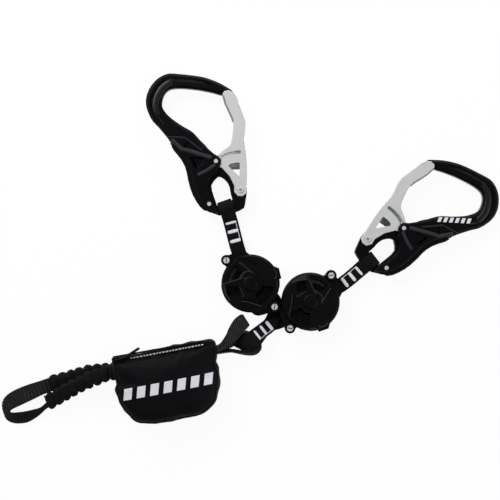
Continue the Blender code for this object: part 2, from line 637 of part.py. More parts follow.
def build_gate(nose, pivot):
    span = CARABINER_SPAN
    half = GATE_THICKNESS / 2
    gate = chamfered(scaled(GATE_SHARES, span), -half, half, GATE_WALL / 3)
    hollow = prism(scaled(GATE_HOLLOW_SHARES, span), GATE_WALL - half, half - GATE_WALL)
    radius = (Vector(nose) - Vector(pivot)).length
    slot_half = PIN_RADIUS + PIN_GAP
    first, last = GATE_SLOT_ANGLES
    outer, inner = [], []
    steps = 10
    for k in range(steps + 1):
        degrees = first + (last - first) * k / steps
        for rim, reach in ((outer, radius + slot_half), (inner, radius - slot_half)):
            x, y = polar(reach, degrees)
            rim.append((pivot[0] + x, pivot[1] + y))
    slot = prism(outer + inner[::-1], -half - OVERRUN, half + OVERRUN)
    ends = []
    for degrees in GATE_SLOT_ANGLES:
        x, y = polar(radius, degrees)
        ends.append(disc((pivot[0] + x, pivot[1] + y), slot_half, -half - OVERRUN, half + OVERRUN, 12))
    window = prism(scaled(GATE_WINDOW_SHARES, span), -half - OVERRUN, half + OVERRUN)
    bore = disc(pivot, PIVOT_RADIUS + PIN_GAP, -half - OVERRUN, half + OVERRUN, 12)
    return cut(gate, [hollow, slot, window, bore] + ends)


def build_lever(lever_pivot):
    half = LEVER_THICKNESS / 2
    lever = chamfered(smooth(scaled(LEVER_SHARES, CARABINER_SPAN), 1), -half, half, BODY_CHAMFER / 2)
    lug = disc(lever_pivot, LEVER_LUG_SHARE * CARABINER_SPAN, -half + BODY_CHAMFER, half - BODY_CHAMFER, 16)
    bore = disc(lever_pivot, PIN_RADIUS + PIN_GAP, -half - OVERRUN, half + OVERRUN, 10)
    return cut(fuse(lever, [lug]), [bore])


def helix(centre, radius, low, high, turns, points_per_turn):
    count = int(turns * points_per_turn)
    path = []
    for k in range(count + 1):
        angle = math.tau * turns * k / count
        path.append((centre[0] + radius * math.cos(angle), centre[1] + radius * math.sin(angle),
                     low + (high - low) * k / count))
    return path


def build_carabiner(side, skins):
    span = CARABINER_SPAN
    x, y = laid_out(BAR_PLACE_SHARES[side])
    frame = (Matrix.Translation((x, y, WEB_LEVEL)) @ Matrix.Rotation(math.radians(CARABINER_TURN[side]), 4, "Z")
             @ Matrix.Rotation(math.radians(CARABINER_FLIP[side]), 4, "Y"))
    nose, pivot, lever_pivot = (tuple(value * span for value in share)
                                for share in (NOSE_SHARE, PIVOT_SHARE, LEVER_PIVOT_SHARE))
    place(build_frame(nose, pivot, lever_pivot), "carabiner_frame_" + side, frame, skins["frame"])
    place(build_gate(nose, pivot), "gate_" + side, frame, skins["gate"], pivot)
    place(build_lever(lever_pivot), "palm_lever_" + side, frame, skins["plastic"], lever_pivot)
    body_half = BODY_THICKNESS / 2
    place(rivet(nose, PIN_RADIUS, body_half), "nose_rivet_" + side, frame, skins["steel"], nose)
    place(rivet(lever_pivot, PIN_RADIUS, body_half), "lever_rivet_" + side, frame, skins["steel"], lever_pivot)
    pivot_half = GATE_THICKNESS / 2 + RUNNING_GAP / 2 + RIVET_HEAD_HEIGHT
    place(rivet(pivot, PIVOT_RADIUS, pivot_half), "gate_rivet_" + side, frame, skins["steel"], pivot)
    core_half = CORE_THICKNESS / 2
    low = core_half - SPRING_POCKET_DEPTH + SPRING_WIRE + RUNNING_GAP
    coil = helix(pivot, SPRING_COIL_RADIUS, low, core_half - SPRING_WIRE, 2.0, 9)
    place(tube_along(coil, SPRING_WIRE, 4), "gate_spring_" + side, frame, skins["steel"], pivot)
    place(build_lever_spring(), "lever_spring_" + side, frame, skins["steel"])


def build_lever_spring():
    x, y = (value * CARABINER_SPAN for value in LEVER_SPRING_SHARE)
    coil = helix((0.0, 0.0), LEVER_SPRING_RADIUS, 0.0, LEVER_SPRING_LENGTH, 3.0, 8)
    spring = tube_along(coil, SPRING_WIRE / 2, 4)
    spring.data.transform(Matrix.Translation((x, y, 0.0)) @ Matrix.Rotation(math.pi / 2, 4, "Y"))
    return spring


def ear_lobe(degrees):
    ear = circle(polar(SCREW_CIRCLE, degrees), SCREW_EAR_RADIUS, 14)
    fairing = circle(polar(REEL_RADIUS - SCREW_EAR_RADIUS, degrees - 27.0), SCREW_EAR_RADIUS * 2, 16)
    root = circle(polar(REEL_RADIUS - SCREW_EAR_RADIUS * 2, degrees + 4.0), SCREW_EAR_RADIUS, 10)
    return convex_hull(ear + fairing), convex_hull(ear + root)


def cover_blank(profile, low, ear_top):
    blank = turned_profile(profile, 44)
    tools = []
    for degrees in SCREW_ANGLES:
        lobe, neck = ear_lobe(degrees)
        tools += [prism(lobe, low, ear_top), prism(neck, low, ear_top)]
    tools.append(prism(scaled(TAB_SHARES, REEL_RADIUS), low, ear_top))
    return fuse(blank, tools)


def mouth_cutters():
    cutters = []
    height = PLY * 2 + MOUTH_CLEARANCE * 2
    for degrees in MOUTH_ANGLES:
        centre = polar(MOUTH_RADIUS, degrees)
        cutters.append(turned_box(centre, degrees, MOUTH_RADIUS, WEB_WIDTH + MOUTH_CLEARANCE * 2,
                                  WEB_LEVEL - height / 2, WEB_LEVEL + height / 2))
    return cutters


def build_rear_cover():
    top = WEB_LEVEL - RUNNING_GAP / 2
    edge = REEL_EDGE
    profile = ((REEL_RADIUS - edge, 0.0), (REEL_RADIUS, edge), (REEL_RADIUS, top))
    blank = cover_blank(profile, 0.0, top)
    tools = [disc((0.0, 0.0), REEL_RADIUS - REEL_WALL, REEL_WALL, top + OVERRUN, 36)] + mouth_cutters()
    tools += [disc(polar(SCREW_CIRCLE, degrees), SCREW_SHANK_RADIUS + PIN_GAP, REEL_WALL, top + OVERRUN, 8)
              for degrees in SCREW_ANGLES]
    return cut(blank, tools)


def sector(first, last, inner, outer, steps=8):
    outline = [polar(outer, first + (last - first) * k / steps) for k in range(steps + 1)]
    outline += [polar(inner, last + (first - last) * k / steps) for k in range(steps + 1)]
    return outline


def build_front_cover():
    low = WEB_LEVEL + RUNNING_GAP / 2
    edge = REEL_EDGE
    top = REEL_THICKNESS
    profile = ((REEL_RADIUS, low), (REEL_RADIUS, top - edge), (REEL_RADIUS - edge, top))
    blank = cover_blank(profile, low, EAR_HEIGHT)
    tools = [disc((0.0, 0.0), REEL_RADIUS - REEL_WALL, low - OVERRUN, top - REEL_WALL, 36)] + mouth_cutters()
    tools += [disc(polar(SCREW_CIRCLE, degrees), SCREW_SHANK_RADIUS + PIN_GAP, low - OVERRUN, top + OVERRUN, 8)
              for degrees in SCREW_ANGLES]
    above = top + OVERRUN
    under = top - REEL_WALL - OVERRUN / 2
    tools.append(prism(scaled(WINDOW_SHARES, REEL_RADIUS), under, above))
    for shares in SLOT_WINDOW_SHARES:
        tools.append(prism(scaled(shares, REEL_RADIUS), top - REEL_WALL / 2, above))
    inner, outer = (share * REEL_RADIUS for share in SECTOR_RADII_SHARES)
    for first, last in SECTOR_WINDOWS:
        tools.append(prism(sector(first, last, inner, outer), under, above))
    cap = turned_profile(((HUB_RADIUS * 2 / 3 + CAP_GROOVE, top - CAP_GROOVE), (HUB_RADIUS * 2 / 3 + CAP_GROOVE, above)), 20)
    core = turned_profile(((HUB_RADIUS * 2 / 3, top - CAP_GROOVE * 2), (HUB_RADIUS * 2 / 3, above + OVERRUN)), 20)
    tools.append(cut(cap, [core]))
    return cut(blank, tools)


def build_screw(degrees):
    centre = polar(SCREW_CIRCLE, degrees)
    base = EAR_HEIGHT + RUNNING_GAP / 2
    shank = disc(centre, SCREW_SHANK_RADIUS, REEL_WALL + RUNNING_GAP, base + SCREW_HEAD_HEIGHT / 3, 8)
    head = disc(centre, SCREW_HEAD_RADIUS, base, base + SCREW_HEAD_HEIGHT, 14)
    drive = SCREW_HEAD_HEIGHT / 3
    slot = turned_box(centre, 90.0, SCREW_HEAD_RADIUS * 3, drive, base + drive * 2, base + drive * 4)
    return cut(fuse(head, [shank]), [slot])


def spiral(start, pitch, turns, points_per_turn, reverse=False):
    count = int(turns * points_per_turn)
    path = []
    for k in range(count + 1):
        angle = math.tau * turns * k / count * (-1 if reverse else 1)
        radius = start + pitch * turns * k / count
        path.append((radius * math.cos(angle), radius * math.sin(angle)))
    return path


def least_gap(path, thickness, points_per_turn):
    gaps = []
    for index in range(len(path) - points_per_turn):
        here = Vector(path[index])
        for other in path[index + points_per_turn // 2:]:
            gaps.append((Vector(other) - here).length)
    return min(gaps) - thickness


def build_reel(side, skins):
    x, y = reel_place(side)
    frame = Matrix.Translation((x, y, 0.0)) @ Matrix.Rotation(math.radians(REEL_TURN[side]), 4, "Z")
    place(build_rear_cover(), "reel_rear_cover_" + side, frame, skins["plastic"])
    place(build_front_cover(), "reel_front_cover_" + side, frame, skins["plastic"])
    for end, degrees in zip(("outer", "inner"), SCREW_ANGLES):
        place(build_screw(degrees), "reel_screw_" + end + "_" + side, frame, skins["steel"])
    low = REEL_WALL + RUNNING_GAP
    high = REEL_THICKNESS - REEL_WALL - RUNNING_GAP
    place(disc((0.0, 0.0), AXLE_RADIUS, low, high, 12), "reel_axle_" + side, frame, skins["steel"])
    spool = turned_profile(((FLANGE_RADIUS, low), (FLANGE_RADIUS, low + FLANGE_THICKNESS),
                            (HUB_RADIUS, low + FLANGE_THICKNESS), (HUB_RADIUS, high)), 30)
    floor = low + FLANGE_THICKNESS
    spool = cut(spool, [disc((0.0, 0.0), HUB_RADIUS - HUB_WALL, floor, high + OVERRUN, 20),
                        disc((0.0, 0.0), AXLE_RADIUS + RUNNING_GAP, low - OVERRUN, high, 12)])
    place(spool, "reel_spool_" + side, frame, skins["plastic"])
    tape_low = floor + RUNNING_GAP
    start = HUB_RADIUS + RUNNING_GAP + TAPE_THICKNESS / 2
    tape = spiral(start, TAPE_PITCH, TAPE_TURNS, 16)
    print("least gap between the turns of the wound tape:", least_gap(tape, TAPE_THICKNESS, 16))
    place(wall_along(tape, TAPE_THICKNESS, tape_low, tape_low + WEB_WIDTH), "wound_tape_" + side, frame,
          skins["webbing"])
    inner = AXLE_RADIUS + RUNNING_GAP + MAINSPRING_THICKNESS
    pitch = (HUB_RADIUS - HUB_WALL - RUNNING_GAP - MAINSPRING_THICKNESS - inner) / MAINSPRING_TURNS
    coil = spiral(inner, pitch, MAINSPRING_TURNS, 12)
    place(wall_along(coil, MAINSPRING_THICKNESS, floor + RUNNING_GAP, high - OVERRUN / 2), "mainspring_" + side, frame,
          skins["steel"])


def build_arm(side, skins):
    bar = laid_out(BAR_PLACE_SHARES[side])
    reel = reel_place(side)
    heading = MOUTH_ANGLES[0] + REEL_TURN[side]
    inner_end = reel + Vector(polar(REEL_RADIUS - REEL_WALL - RUNNING_GAP * 2, heading))
    up_heading = 90.0 + CARABINER_TURN[side]
    flip = -1.0 if CARABINER_FLIP[side] else 1.0
    across = Vector(polar(1.0, up_heading - 90.0)) * flip
    centre_share = (EYE_SHARES[6][0] + EYE_SHARES[7][0]) / 2
    start = bar + across * centre_share * CARABINER_SPAN
    points = bezier_path(start, up_heading + 180.0, inner_end, heading + 180.0, 40)
    sewn = SEWN_LENGTH[side]
    neck = BAR_RADIUS * 3
    strap = eye_strap(points, BAR_RADIUS + RUNNING_GAP, neck, sewn, WEB_WIDTH, PLY, WEB_LEVEL, 5)
    pivot = (bar.x, bar.y, WEB_LEVEL)
    still = Matrix.Identity(4)
    place(strap, "arm_eye_" + side, still, skins["webbing"], pivot)
    tape = strap_run(points, sewn + RUNNING_GAP, path_length(points), WEB_WIDTH, PLY, WEB_LEVEL, 5)
    place(tape, "arm_tape_" + side, still, skins["webbing"])


def reel_mouth(side, index, radius):
    reel = reel_place(side)
    heading = MOUTH_ANGLES[index] + REEL_TURN[side]
    return reel + Vector(polar(radius, heading)), heading


def build_main_webbing(skins):
    cross = strap_crossing()
    junction = laid_out(JUNCTION_SHARE)
    points = bezier_path(cross, TRUNK_HEADING, junction, TRUNK_HEADING, 30)
    length = path_length(points)
    neck = TRUNK_BORE * 2
    trunk = eye_strap(points, TRUNK_BORE, neck, length, WEB_WIDTH, PLY, WEB_LEVEL, 3)
    arms = []
    still = Matrix.Identity(4)
    inside = REEL_RADIUS - REEL_WALL - RUNNING_GAP * 2
    for side in ("left", "right"):
        tip, heading = reel_mouth(side, 1, inside)
        outer, _ = reel_mouth(side, 1, inside + LEG_BREAK[side])
        root = junction - Vector(polar(PLY * 5, TRUNK_HEADING))
        root_heading = heading + 180.0
        leg_points = bezier_path(root, TRUNK_HEADING if side == "right" else (TRUNK_HEADING + root_heading) / 2,
                                 outer, root_heading, 40)
        thickness = PLY * 2 - SEAM_STEP[side]
        reach = path_length(leg_points) - RUNNING_GAP * 2
        arms.append(strap_run(leg_points, 0.0, reach, WEB_WIDTH, thickness, WEB_LEVEL, 4))
        gap_start = outer - Vector(polar(RUNNING_GAP * 7, heading))
        leg = strap_run([gap_start, tip], 0.0, (tip - gap_start).length, WEB_WIDTH, PLY * 2, WEB_LEVEL, 2)
        place(leg, "leg_" + side, still, skins["webbing"])
    trunk = combine(trunk, arms, "UNION", "MANIFOLD")
    place(trunk, "main_strap", still, skins["webbing"], (cross.x, cross.y, WEB_LEVEL))


def pouch_layers(layer_shares, shift=0.0):
    outline = smooth(scaled(POUCH_SHARES, POUCH_SPAN), 1)
    layers = []
    for factor, level in layer_shares:
        layers.append([(x * factor, y * factor + shift, level * POUCH_HEIGHT) for x, y in outline])
    return layers


def build_pouch(skins):
    frame = Matrix.Rotation(math.radians(POUCH_TURN), 4, "Z")
    shell = layered(pouch_layers(POUCH_LAYER_SHARES))
    cavity = layered(pouch_layers(CAVITY_LAYER_SHARES, CAVITY_SHIFT_SHARE * POUCH_SPAN))
    ledge = prism(rectangle(ZIP_LEDGE_SHARES, POUCH_SPAN), ZIP_LEDGE_LEVEL, POUCH_HEIGHT + OVERRUN)
    left = prism(rectangle(LEFT_MOUTH_SHARES, POUCH_SPAN), *LEFT_MOUTH_LEVELS)
    right = prism(rectangle(RIGHT_MOUTH_SHARES, POUCH_SPAN), *RIGHT_MOUTH_LEVELS)
    place(cut(shell, [cavity, ledge, left, right]), "pouch_shell", frame, skins["fabric"])
    pack_low, pack_high = ABSORBER_LEVELS
    pack = chamfered(rectangle(ABSORBER_SHARES, POUCH_SPAN), pack_low, pack_high, POUCH_WALL)
    place(pack, "absorber_pack", frame, skins["webbing"])
    zip_low = ZIP_LEDGE_LEVEL + RUNNING_GAP / 2
    zip_high = zip_low + ZIP_THICKNESS
    place(prism(rectangle(ZIP_SHARES, POUCH_SPAN), zip_low, zip_high), "zip_chain", frame, skins["rubber"])
    slider_low = zip_high + RUNNING_GAP / 2
    slider = chamfered(rectangle(SLIDER_SHARES, POUCH_SPAN), slider_low, slider_low + SLIDER_HEIGHT, SLIDER_HEIGHT / 4)
    left_edge, right_edge, bottom, top = (value * POUCH_SPAN for value in SLIDER_SHARES)
    middle = ((left_edge + right_edge) / 2, (bottom + top) / 2, slider_low)
    place(slider, "zip_slider", frame, skins["rubber"], middle)
    pull_level = slider_low + SLIDER_HEIGHT + RUNNING_GAP + ZIP_PULL_RADIUS
    path = smooth([(x, y, pull_level) for x, y in scaled(ZIP_PULL_SHARES, POUCH_SPAN)], 3, False)
    place(tube_along(path, ZIP_PULL_RADIUS, 6), "zip_pull", frame, skins["rubber"], path[0])


def build_tail(skins):
    frame = Matrix.Rotation(math.radians(POUCH_TURN), 4, "Z")
    path = smooth(scaled(TAIL_SHARES, POUCH_SPAN), 2, False)
    low = WEB_LEVEL - TAIL_WIDTH / 2
    place(wall_along(path, PLY, low, low + TAIL_WIDTH), "absorber_tail", frame, skins["webbing"])
    rims = []
    level = REST_LOOP_LEVEL + REST_LOOP_THICKNESS / 2
    for rim in REST_RIM_SHARES:
        rims.append(smooth([(x, y, level) for x, y in scaled(rim, POUCH_SPAN)], 2, False))
    place(band_between(rims[1], rims[0], REST_LOOP_THICKNESS), "rest_loop", frame, skins["webbing"])


def build_gather(name, skins):
    frame = Matrix.Translation((-TIE_OFFSET, 0.0, 0.0))
    rings_per_lobe = 4
    path = smooth(scaled(GATHER_SHARES[name], TIE_SPAN), 8, False)
    centre_line = [Vector(point) for point in path]
    length = path_length(centre_line)
    count = GATHER_LOBES * rings_per_lobe
    bm = bmesh.new()
    rows = []
    sides = 10
    for k in range(count + 1):
        spot, along = path_point(centre_line, length * k / count)
        across = along.cross(Vector((0.0, 0.0, 1.0))).normalized()
        lift = across.cross(along).normalized()
        swell = 1.0 - GATHER_SWELL_SHARE * (1.0 + math.cos(math.tau * k / rings_per_lobe)) / 2
        row = []
        for step in range(sides):
            angle = math.tau * step / sides
            row.append(bm.verts.new(spot + across * GATHER_HALF_WIDTH * swell * math.cos(angle)
                                    + lift * GATHER_HALF_HEIGHT * swell * math.sin(angle)))
        rows.append(row)
    place(object_from(close_rows(bm, rows), name), name, frame, skins["webbing"], smooth_angle=80.0)


def build_tie_in(skins):
    frame = Matrix.Translation((-TIE_OFFSET, 0.0, 0.0))
    outer = smooth(scaled(TIE_OUTER_SHARES, TIE_SPAN), 2, False)
    inner = smooth(scaled(TIE_INNER_SHARES, TIE_SPAN), 2, False)
    place(band_between(outer, inner, TIE_THICKNESS), "tie_in_loop", frame, skins["webbing"], outer[0])
    for name in GATHER_SHARES:
        build_gather(name, skins)


def build_skins():
    return {
        "webbing": make_material("webbing", (0.030, 0.029, 0.028), 0.0, 0.85),
        "fabric": make_material("pouch_fabric", (0.022, 0.022, 0.026), 0.0, 0.90),
        "plastic": make_material("black_plastic", (0.020, 0.020, 0.021), 0.0, 0.50),
        "rubber": make_material("zip_rubber", (0.025, 0.025, 0.028), 0.0, 0.60),
        "frame": make_material("anodised_black", (0.030, 0.030, 0.033), 0.6, 0.40),
        "gate": make_material("bright_aluminium", (0.72, 0.73, 0.74), 1.0, 0.35),
        "steel": make_material("zinc_steel", (0.75, 0.75, 0.75), 1.0, 0.30),
    }


def main():
    clear_scene()
    skins = build_skins()
    build_pouch(skins)
    build_tail(skins)
    build_tie_in(skins)
    build_main_webbing(skins)
    for side in ("left", "right"):
        build_reel(side, skins)
        build_arm(side, skins)
        build_carabiner(side, skins)


main()
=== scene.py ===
"""Looks of a via ferrata lanyard: webbing, pouch, reels and carabiners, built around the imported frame."""

import math

import bpy
from mathutils import Matrix, Vector, noise
from mathutils.bvhtree import BVHTree


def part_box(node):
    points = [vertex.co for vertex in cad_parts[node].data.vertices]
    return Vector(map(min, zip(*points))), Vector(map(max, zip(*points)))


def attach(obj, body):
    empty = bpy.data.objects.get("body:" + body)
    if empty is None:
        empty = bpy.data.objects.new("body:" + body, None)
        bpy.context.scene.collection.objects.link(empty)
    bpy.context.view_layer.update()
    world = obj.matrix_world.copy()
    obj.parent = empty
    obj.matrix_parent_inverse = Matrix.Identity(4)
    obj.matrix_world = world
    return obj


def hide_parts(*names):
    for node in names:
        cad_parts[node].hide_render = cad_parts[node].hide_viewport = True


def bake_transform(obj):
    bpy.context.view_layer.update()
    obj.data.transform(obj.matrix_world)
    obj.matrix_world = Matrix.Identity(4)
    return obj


bl_info = {
    "name": "Via ferrata lanyard looks",
    "version": (1, 0, 0),
    "blender": (4, 5, 0),
    "location": "3D View > Sidebar > Lanyard",
    "description": "Dresses the frame of a via ferrata lanyard with webbing, cloth, plastic and metal",
    "category": "Object",
}

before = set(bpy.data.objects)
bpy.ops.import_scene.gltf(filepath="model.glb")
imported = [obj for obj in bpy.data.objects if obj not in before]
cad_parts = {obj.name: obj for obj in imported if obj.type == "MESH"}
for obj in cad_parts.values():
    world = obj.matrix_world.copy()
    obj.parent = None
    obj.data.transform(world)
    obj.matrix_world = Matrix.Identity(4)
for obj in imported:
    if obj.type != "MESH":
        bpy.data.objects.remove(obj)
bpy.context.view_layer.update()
SIDES = ("left", "right")
MOULDED_PIECES = ("reel_rear_cover_", "reel_front_cover_", "reel_spool_")
PLATED_PIECES = ("reel_screw_inner_", "reel_screw_outer_", "reel_axle_", "mainspring_", "nose_rivet_",
                 "lever_rivet_", "gate_rivet_", "gate_spring_", "lever_spring_")

# Route of the webbing, in metres, seen from above
WEB_LEVEL = 0.0077
STRAP_CROSSING = (0.07545, 0.03798)
STRAP_HEADING = 40.2
JUNCTION = (0.09370, 0.05230)
TAIL_BORE = 0.0058
TAIL_NECK = 0.0116
LEG_ROOT_BACK = 0.0062
LEG_COVER = 0.0160
EYE_STRETCH = 0.0057
EYE_SKEW = 0.44
EYE_WIDER = 0.0032
BAR_PLACE = {"left": (0.05390, 0.15130), "right": (0.17650, 0.10512)}
BAR_BORE = 0.0049
BAR_NECK = 0.0138
EYE_SHIFT = 0.0006
CARABINER_TURN = {"left": 20.0, "right": -52.6}
CARABINER_FACE = {"left": 1.0, "right": -1.0}
SEWN_LENGTH = {"left": 0.0312, "right": 0.0296}

# Carabiner details in millimetres: outlines and struts from the bar, ring profiles from the rivet's middle.
# The outlines are plates of painted shade, the struts are bars coloured as painted highlights, and the rings
# are painted shade round the rivets.
CHEEK_WEBS = {
    "window": ((-25.9, 65.2), (-27.6, 69.0), (-19.3, 68.6), (-13.0, 66.3), (-6.1, 55.7), (-0.2, 47.3),
               (-2.5, 41.0), (-9.3, 37.2), (-14.8, 39.2), (-16.8, 49.8), (-20.1, 59.0)),
    "heel": ((-18.0, 8.3), (-10.4, 4.6), (-9.3, -2.1), (-15.3, 1.0), (-18.9, 4.6)),
    "toe": ((2.0, -1.0), (8.2, -1.0), (7.4, -5.6), (5.2, -6.9), (2.2, -6.2))}
GATE_WEB = (
    (7.7, 40.9), (11.8, 44.7), (25.3, 43.8), (29.1, 42.0), (24.1, 29.5), (21.9, 27.2), (11.9, 30.4),
    (11.9, 34.0))
STRUTS = {
    "strut_long": (((-24.8, 70.6), (-19.0, 59.5), (-16.0, 58.0), (2.2, 44.2)), 1.7),
    "strut_short": (((3.2, 37.6), (-4.5, 35.5), (-13.9, 34.4)), 1.4),
    "step_edge": (((-28.0, 74.6), (-13.2, 68.1), (-3.6, 53.0)), 0.5)}
BASKET_MIDDLE = (7.5, 78.0)
RECESS_PROFILE = ((1.75, 0.05), (2.0, 0.30), (3.0, 0.20), (3.3, -0.4), (1.75, -0.4))
DIMPLE_PROFILE = ((0.45, 0.02), (0.55, 0.10), (0.95, 0.10), (1.05, -0.1), (0.45, -0.1))

# Bar tacks: how far along its route each one lies, and on which edge the joining line runs
TACK_PLACES = {
    "arm_left": ((0.0133, 0.0213, 0.0297), 1.0),
    "arm_right": ((0.0121, 0.0201, 0.0281), -1.0),
    "main_strap": ((0.0056, 0.0123, 0.0190), -1.0)}
TACK_HEIGHT = 0.0008
TACK_LINE_RADIUS = 0.00028

# Reels: turn of each in degrees, where the webbing goes in and how far, in degrees and metres
REEL_TURN = {"left": 0.0, "right": -84.0}
REEL_TOP = 0.0190
ARM_MOUTH_ANGLE = 111.0
LEG_MOUTH_ANGLE = {"left": -35.0, "right": -60.0}
LEG_START_HEADING = {"left": 44.0, "right": STRAP_HEADING}
MOUTH_INSIDE = 0.0225

# Reel details: paths, profiles, grille and facets in millimetres from the axle, angles in degrees, the
# wound webbing, the slots and the rods' radii in metres
REEL_RIBS = (
    ("rib_long", ((-24.0, -0.7), (-17.0, 1.4), (-9.3, 3.8), (-5.4, 5.4)), 0.50),
    ("rib_lobe", ((-9.3, 3.8), (-7.4, 7.0), (-4.6, 9.6), (-1.6, 10.4), (0.6, 9.6)), 0.62),
    ("rib_step", ((-9.9, 18.2), (-4.0, 13.8), (2.3, 8.8)), 0.50),
    ("rib_window", ((-9.6, -2.6), (-7.4, -7.2), (-5.6, -10.4), (-7.2, -11.6)), 0.40),
    ("rib_tab", ((19.4, 12.6), (21.8, 9.4), (22.0, 5.6), (20.4, 4.4)), 0.45),
    ("rib_rim", ((9.6, -19.6), (4.0, -17.8), (-2.0, -16.0), (-8.0, -15.2)), 0.45))
GRILLE_BARS = 9
GRILLE_FIRST = 136.0
GRILLE_TURN = 4.6
GRILLE_RADII = (16.4, 17.2, 18.0, 18.8)
COLLAR_PROFILE = ((2.70, 0.2), (2.95, 0.45), (4.20, 0.35), (4.60, -0.2), (4.60, -8.0), (2.70, -8.0))
HUB_PROFILE = ((6.3, -0.1), (6.3, 0.35), (5.9, 0.60), (4.6, 0.72), (2.4, 0.80), (0.02, 0.82))
WOUND_TURNS = 5.0
WOUND_PITCH = 0.0020
WOUND_START = 0.0108
WOUND_STATIONS = 420
WOUND_THICKNESS = 0.0013
WOUND_RIB = 0.0044
WOUND_RIB_DEPTH = 0.02
RIB_RAISED = 0.0001
GRILLE_RADIUS = 0.00032
SLOT_ANGLES = {"reel_screw_inner_": 70.0, "reel_screw_outer_": 100.0}
SLOT_HALF_LENGTH = 0.0017
SLOT_RADIUS = 0.00042
FACET_INSIDE = {"left": 22.0, "right": 18.5}
FACET_INSIDE_EAST = 22.4
FACET_FAR_END = 21.8

# Pouch and what hangs on it, in the pouch's own turned frame: outlines and routes in millimetres, turns in
# degrees, other sizes in metres
POUCH_TURN = 10.0
POUCH_OUTLINE = (
    (-39.8, 28.7), (-40.6, 25.0), (-40.8, 11.0), (-40.2, 7.0), (-41.8, 4.0), (-42.3, 0.5), (-40.9, -8.6),
    (-38.2, -16.8), (-33.6, -23.2), (-29.5, -28.2), (-26.4, -30.0), (-15.5, -32.3), (-1.0, -32.6),
    (12.7, -32.3), (27.7, -32.3), (30.9, -30.9), (37.3, -26.8), (42.7, -22.3), (45.5, -15.0), (48.6, -5.9),
    (49.8, 0.5), (49.1, 6.8), (48.0, 11.4), (49.8, 15.9), (50.6, 21.4), (50.3, 27.0), (47.0, 30.6),
    (40.0, 31.5), (25.0, 31.4), (10.0, 30.9), (0.0, 30.0), (-12.7, 29.0), (-23.6, 28.8), (-32.0, 29.0))
POUCH_LAYERS = (
    (0.55, 0.0004), (0.90, 0.0006), (0.965, 0.0016), (0.988, 0.0050), (0.992, 0.0100), (0.988, 0.0155),
    (0.970, 0.0190), (0.955, 0.0200), (0.930, 0.0224), (0.880, 0.0246), (0.800, 0.0262), (0.660, 0.0276),
    (0.460, 0.0284), (0.240, 0.0287), (0.080, 0.0288))
ZIP_EDGE = 0.0246
ZIP_LEDGE = 0.0200
ZIP_ENDS = (-0.0385, 0.0395)
ZIP_LINE = 0.0280
ZIP_RAISED = 0.0006
ZIP_TAPES = (("zip_tape", -0.0010, 0.0030), ("zip_tape_far", 0.0025, 0.0014))
ZIP_TAPE_THICKNESS = 0.0009
ZIP_TAPE_RIB = 0.0030
ZIP_TAPE_RIB_DEPTH = 0.02
DASH_RADIUS = 0.00062
DASH_RAISED = 0.00042
FIRST_DASH = 0.0150
DASH_GAP = 0.0009
TOOTH_WIDTH = 0.0019
TOOTH_HEIGHT = 0.0009
TOOTH_LEAN = 14.0
TOOTH_SHIFT = 0.0013
TOOTH_RAISED = 0.0002
SLIDER_SIZE = (0.0094, 0.0054, 0.0024)
SLIDER_WAIST = 0.78
BRIDGE_ARCH = (
    (-0.0030, 0.0008), (-0.0028, 0.0018), (-0.0012, 0.0022), (0.0012, 0.0022), (0.0028, 0.0018),
    (0.0030, 0.0008))
BRIDGE_RADIUS = 0.00055
PULL_ROUTE = ((-33.6, 27.9), (-28.6, 28.7), (-21.5, 31.4), (-14.2, 34.5))
PULL_RADIUS = 0.00115
PADDING_VOXEL = 0.0018
PADDING_FRAMES = 16
PADDING_SWELL = 0.0022
PANEL_MIDDLE = 0.004
PANEL_HALF_SIZE = (0.046, 0.031)
FOLD_DEPTH = 0.0011
WAVE_DEPTH = 0.0006
PADDING_MASS = 0.2
PADDING_PRESSURE = 3.0
WELT_INSET = 0.945
WELT_RADIUS = 0.00062
PRINT_PLACE = (0.0042, -0.0019)
PRINT_TURN = 0.9
PRINT_BARS = 7
PRINT_BAR_SIZE = (0.0072, 0.0096)
PRINT_GAP = 0.0044
PRINT_SLANT = 0.28
TEAR_LAYERS = 6
TEAR_WIDTH = 0.0270
TEAR_RIB = 0.0024
TEAR_LOW = 0.0048
TEAR_PITCH = 0.0026
TEAR_ENDS = (-0.020, 0.026)
TEAR_SHIFT = -0.0035
TAIL_ROUTE = (
    (44.0, 18.0), (53.0, 18.0), (60.9, 17.6), (65.5, 16.2), (69.6, 14.7), (75.0, 13.3), (80.4, 13.2),
    (83.6, 15.0), (84.6, 18.0), (82.0, 22.8), (78.3, 28.7), (76.5, 30.2), (73.5, 29.8), (69.0, 26.4),
    (64.0, 23.0), (56.0, 20.7), (44.0, 20.6))
TAIL_LEAN = 9.0
TAIL_TILT = 28.0
TAIL_TILT_SHARES = (0.45, 0.13)
TAIL_WIDTH = 0.0105
TAIL_THICKNESS = 0.0030
TAIL_RIB_DEPTH = 0.10
# The last point of the second rim only steers the curve that ends at the point before it
REST_RIMS = (
    ((44.6, 25.4), (52.4, 25.4), (59.5, 32.0), (63.1, 37.5), (68.5, 43.6), (73.5, 46.7), (75.4, 47.2),
     (77.2, 46.9)),
    ((44.6, 18.2), (51.5, 18.6), (56.4, 20.2), (64.0, 22.6), (70.8, 29.1), (75.4, 32.3), (79.9, 35.5),
     (81.2, 37.2), (81.4, 38.6)))
REST_LEVEL = 0.0166
REST_PLY = 0.0011
REST_PLY_OFFSETS = (0.0006, -0.0006)
REST_RIB_DEPTH = 0.22

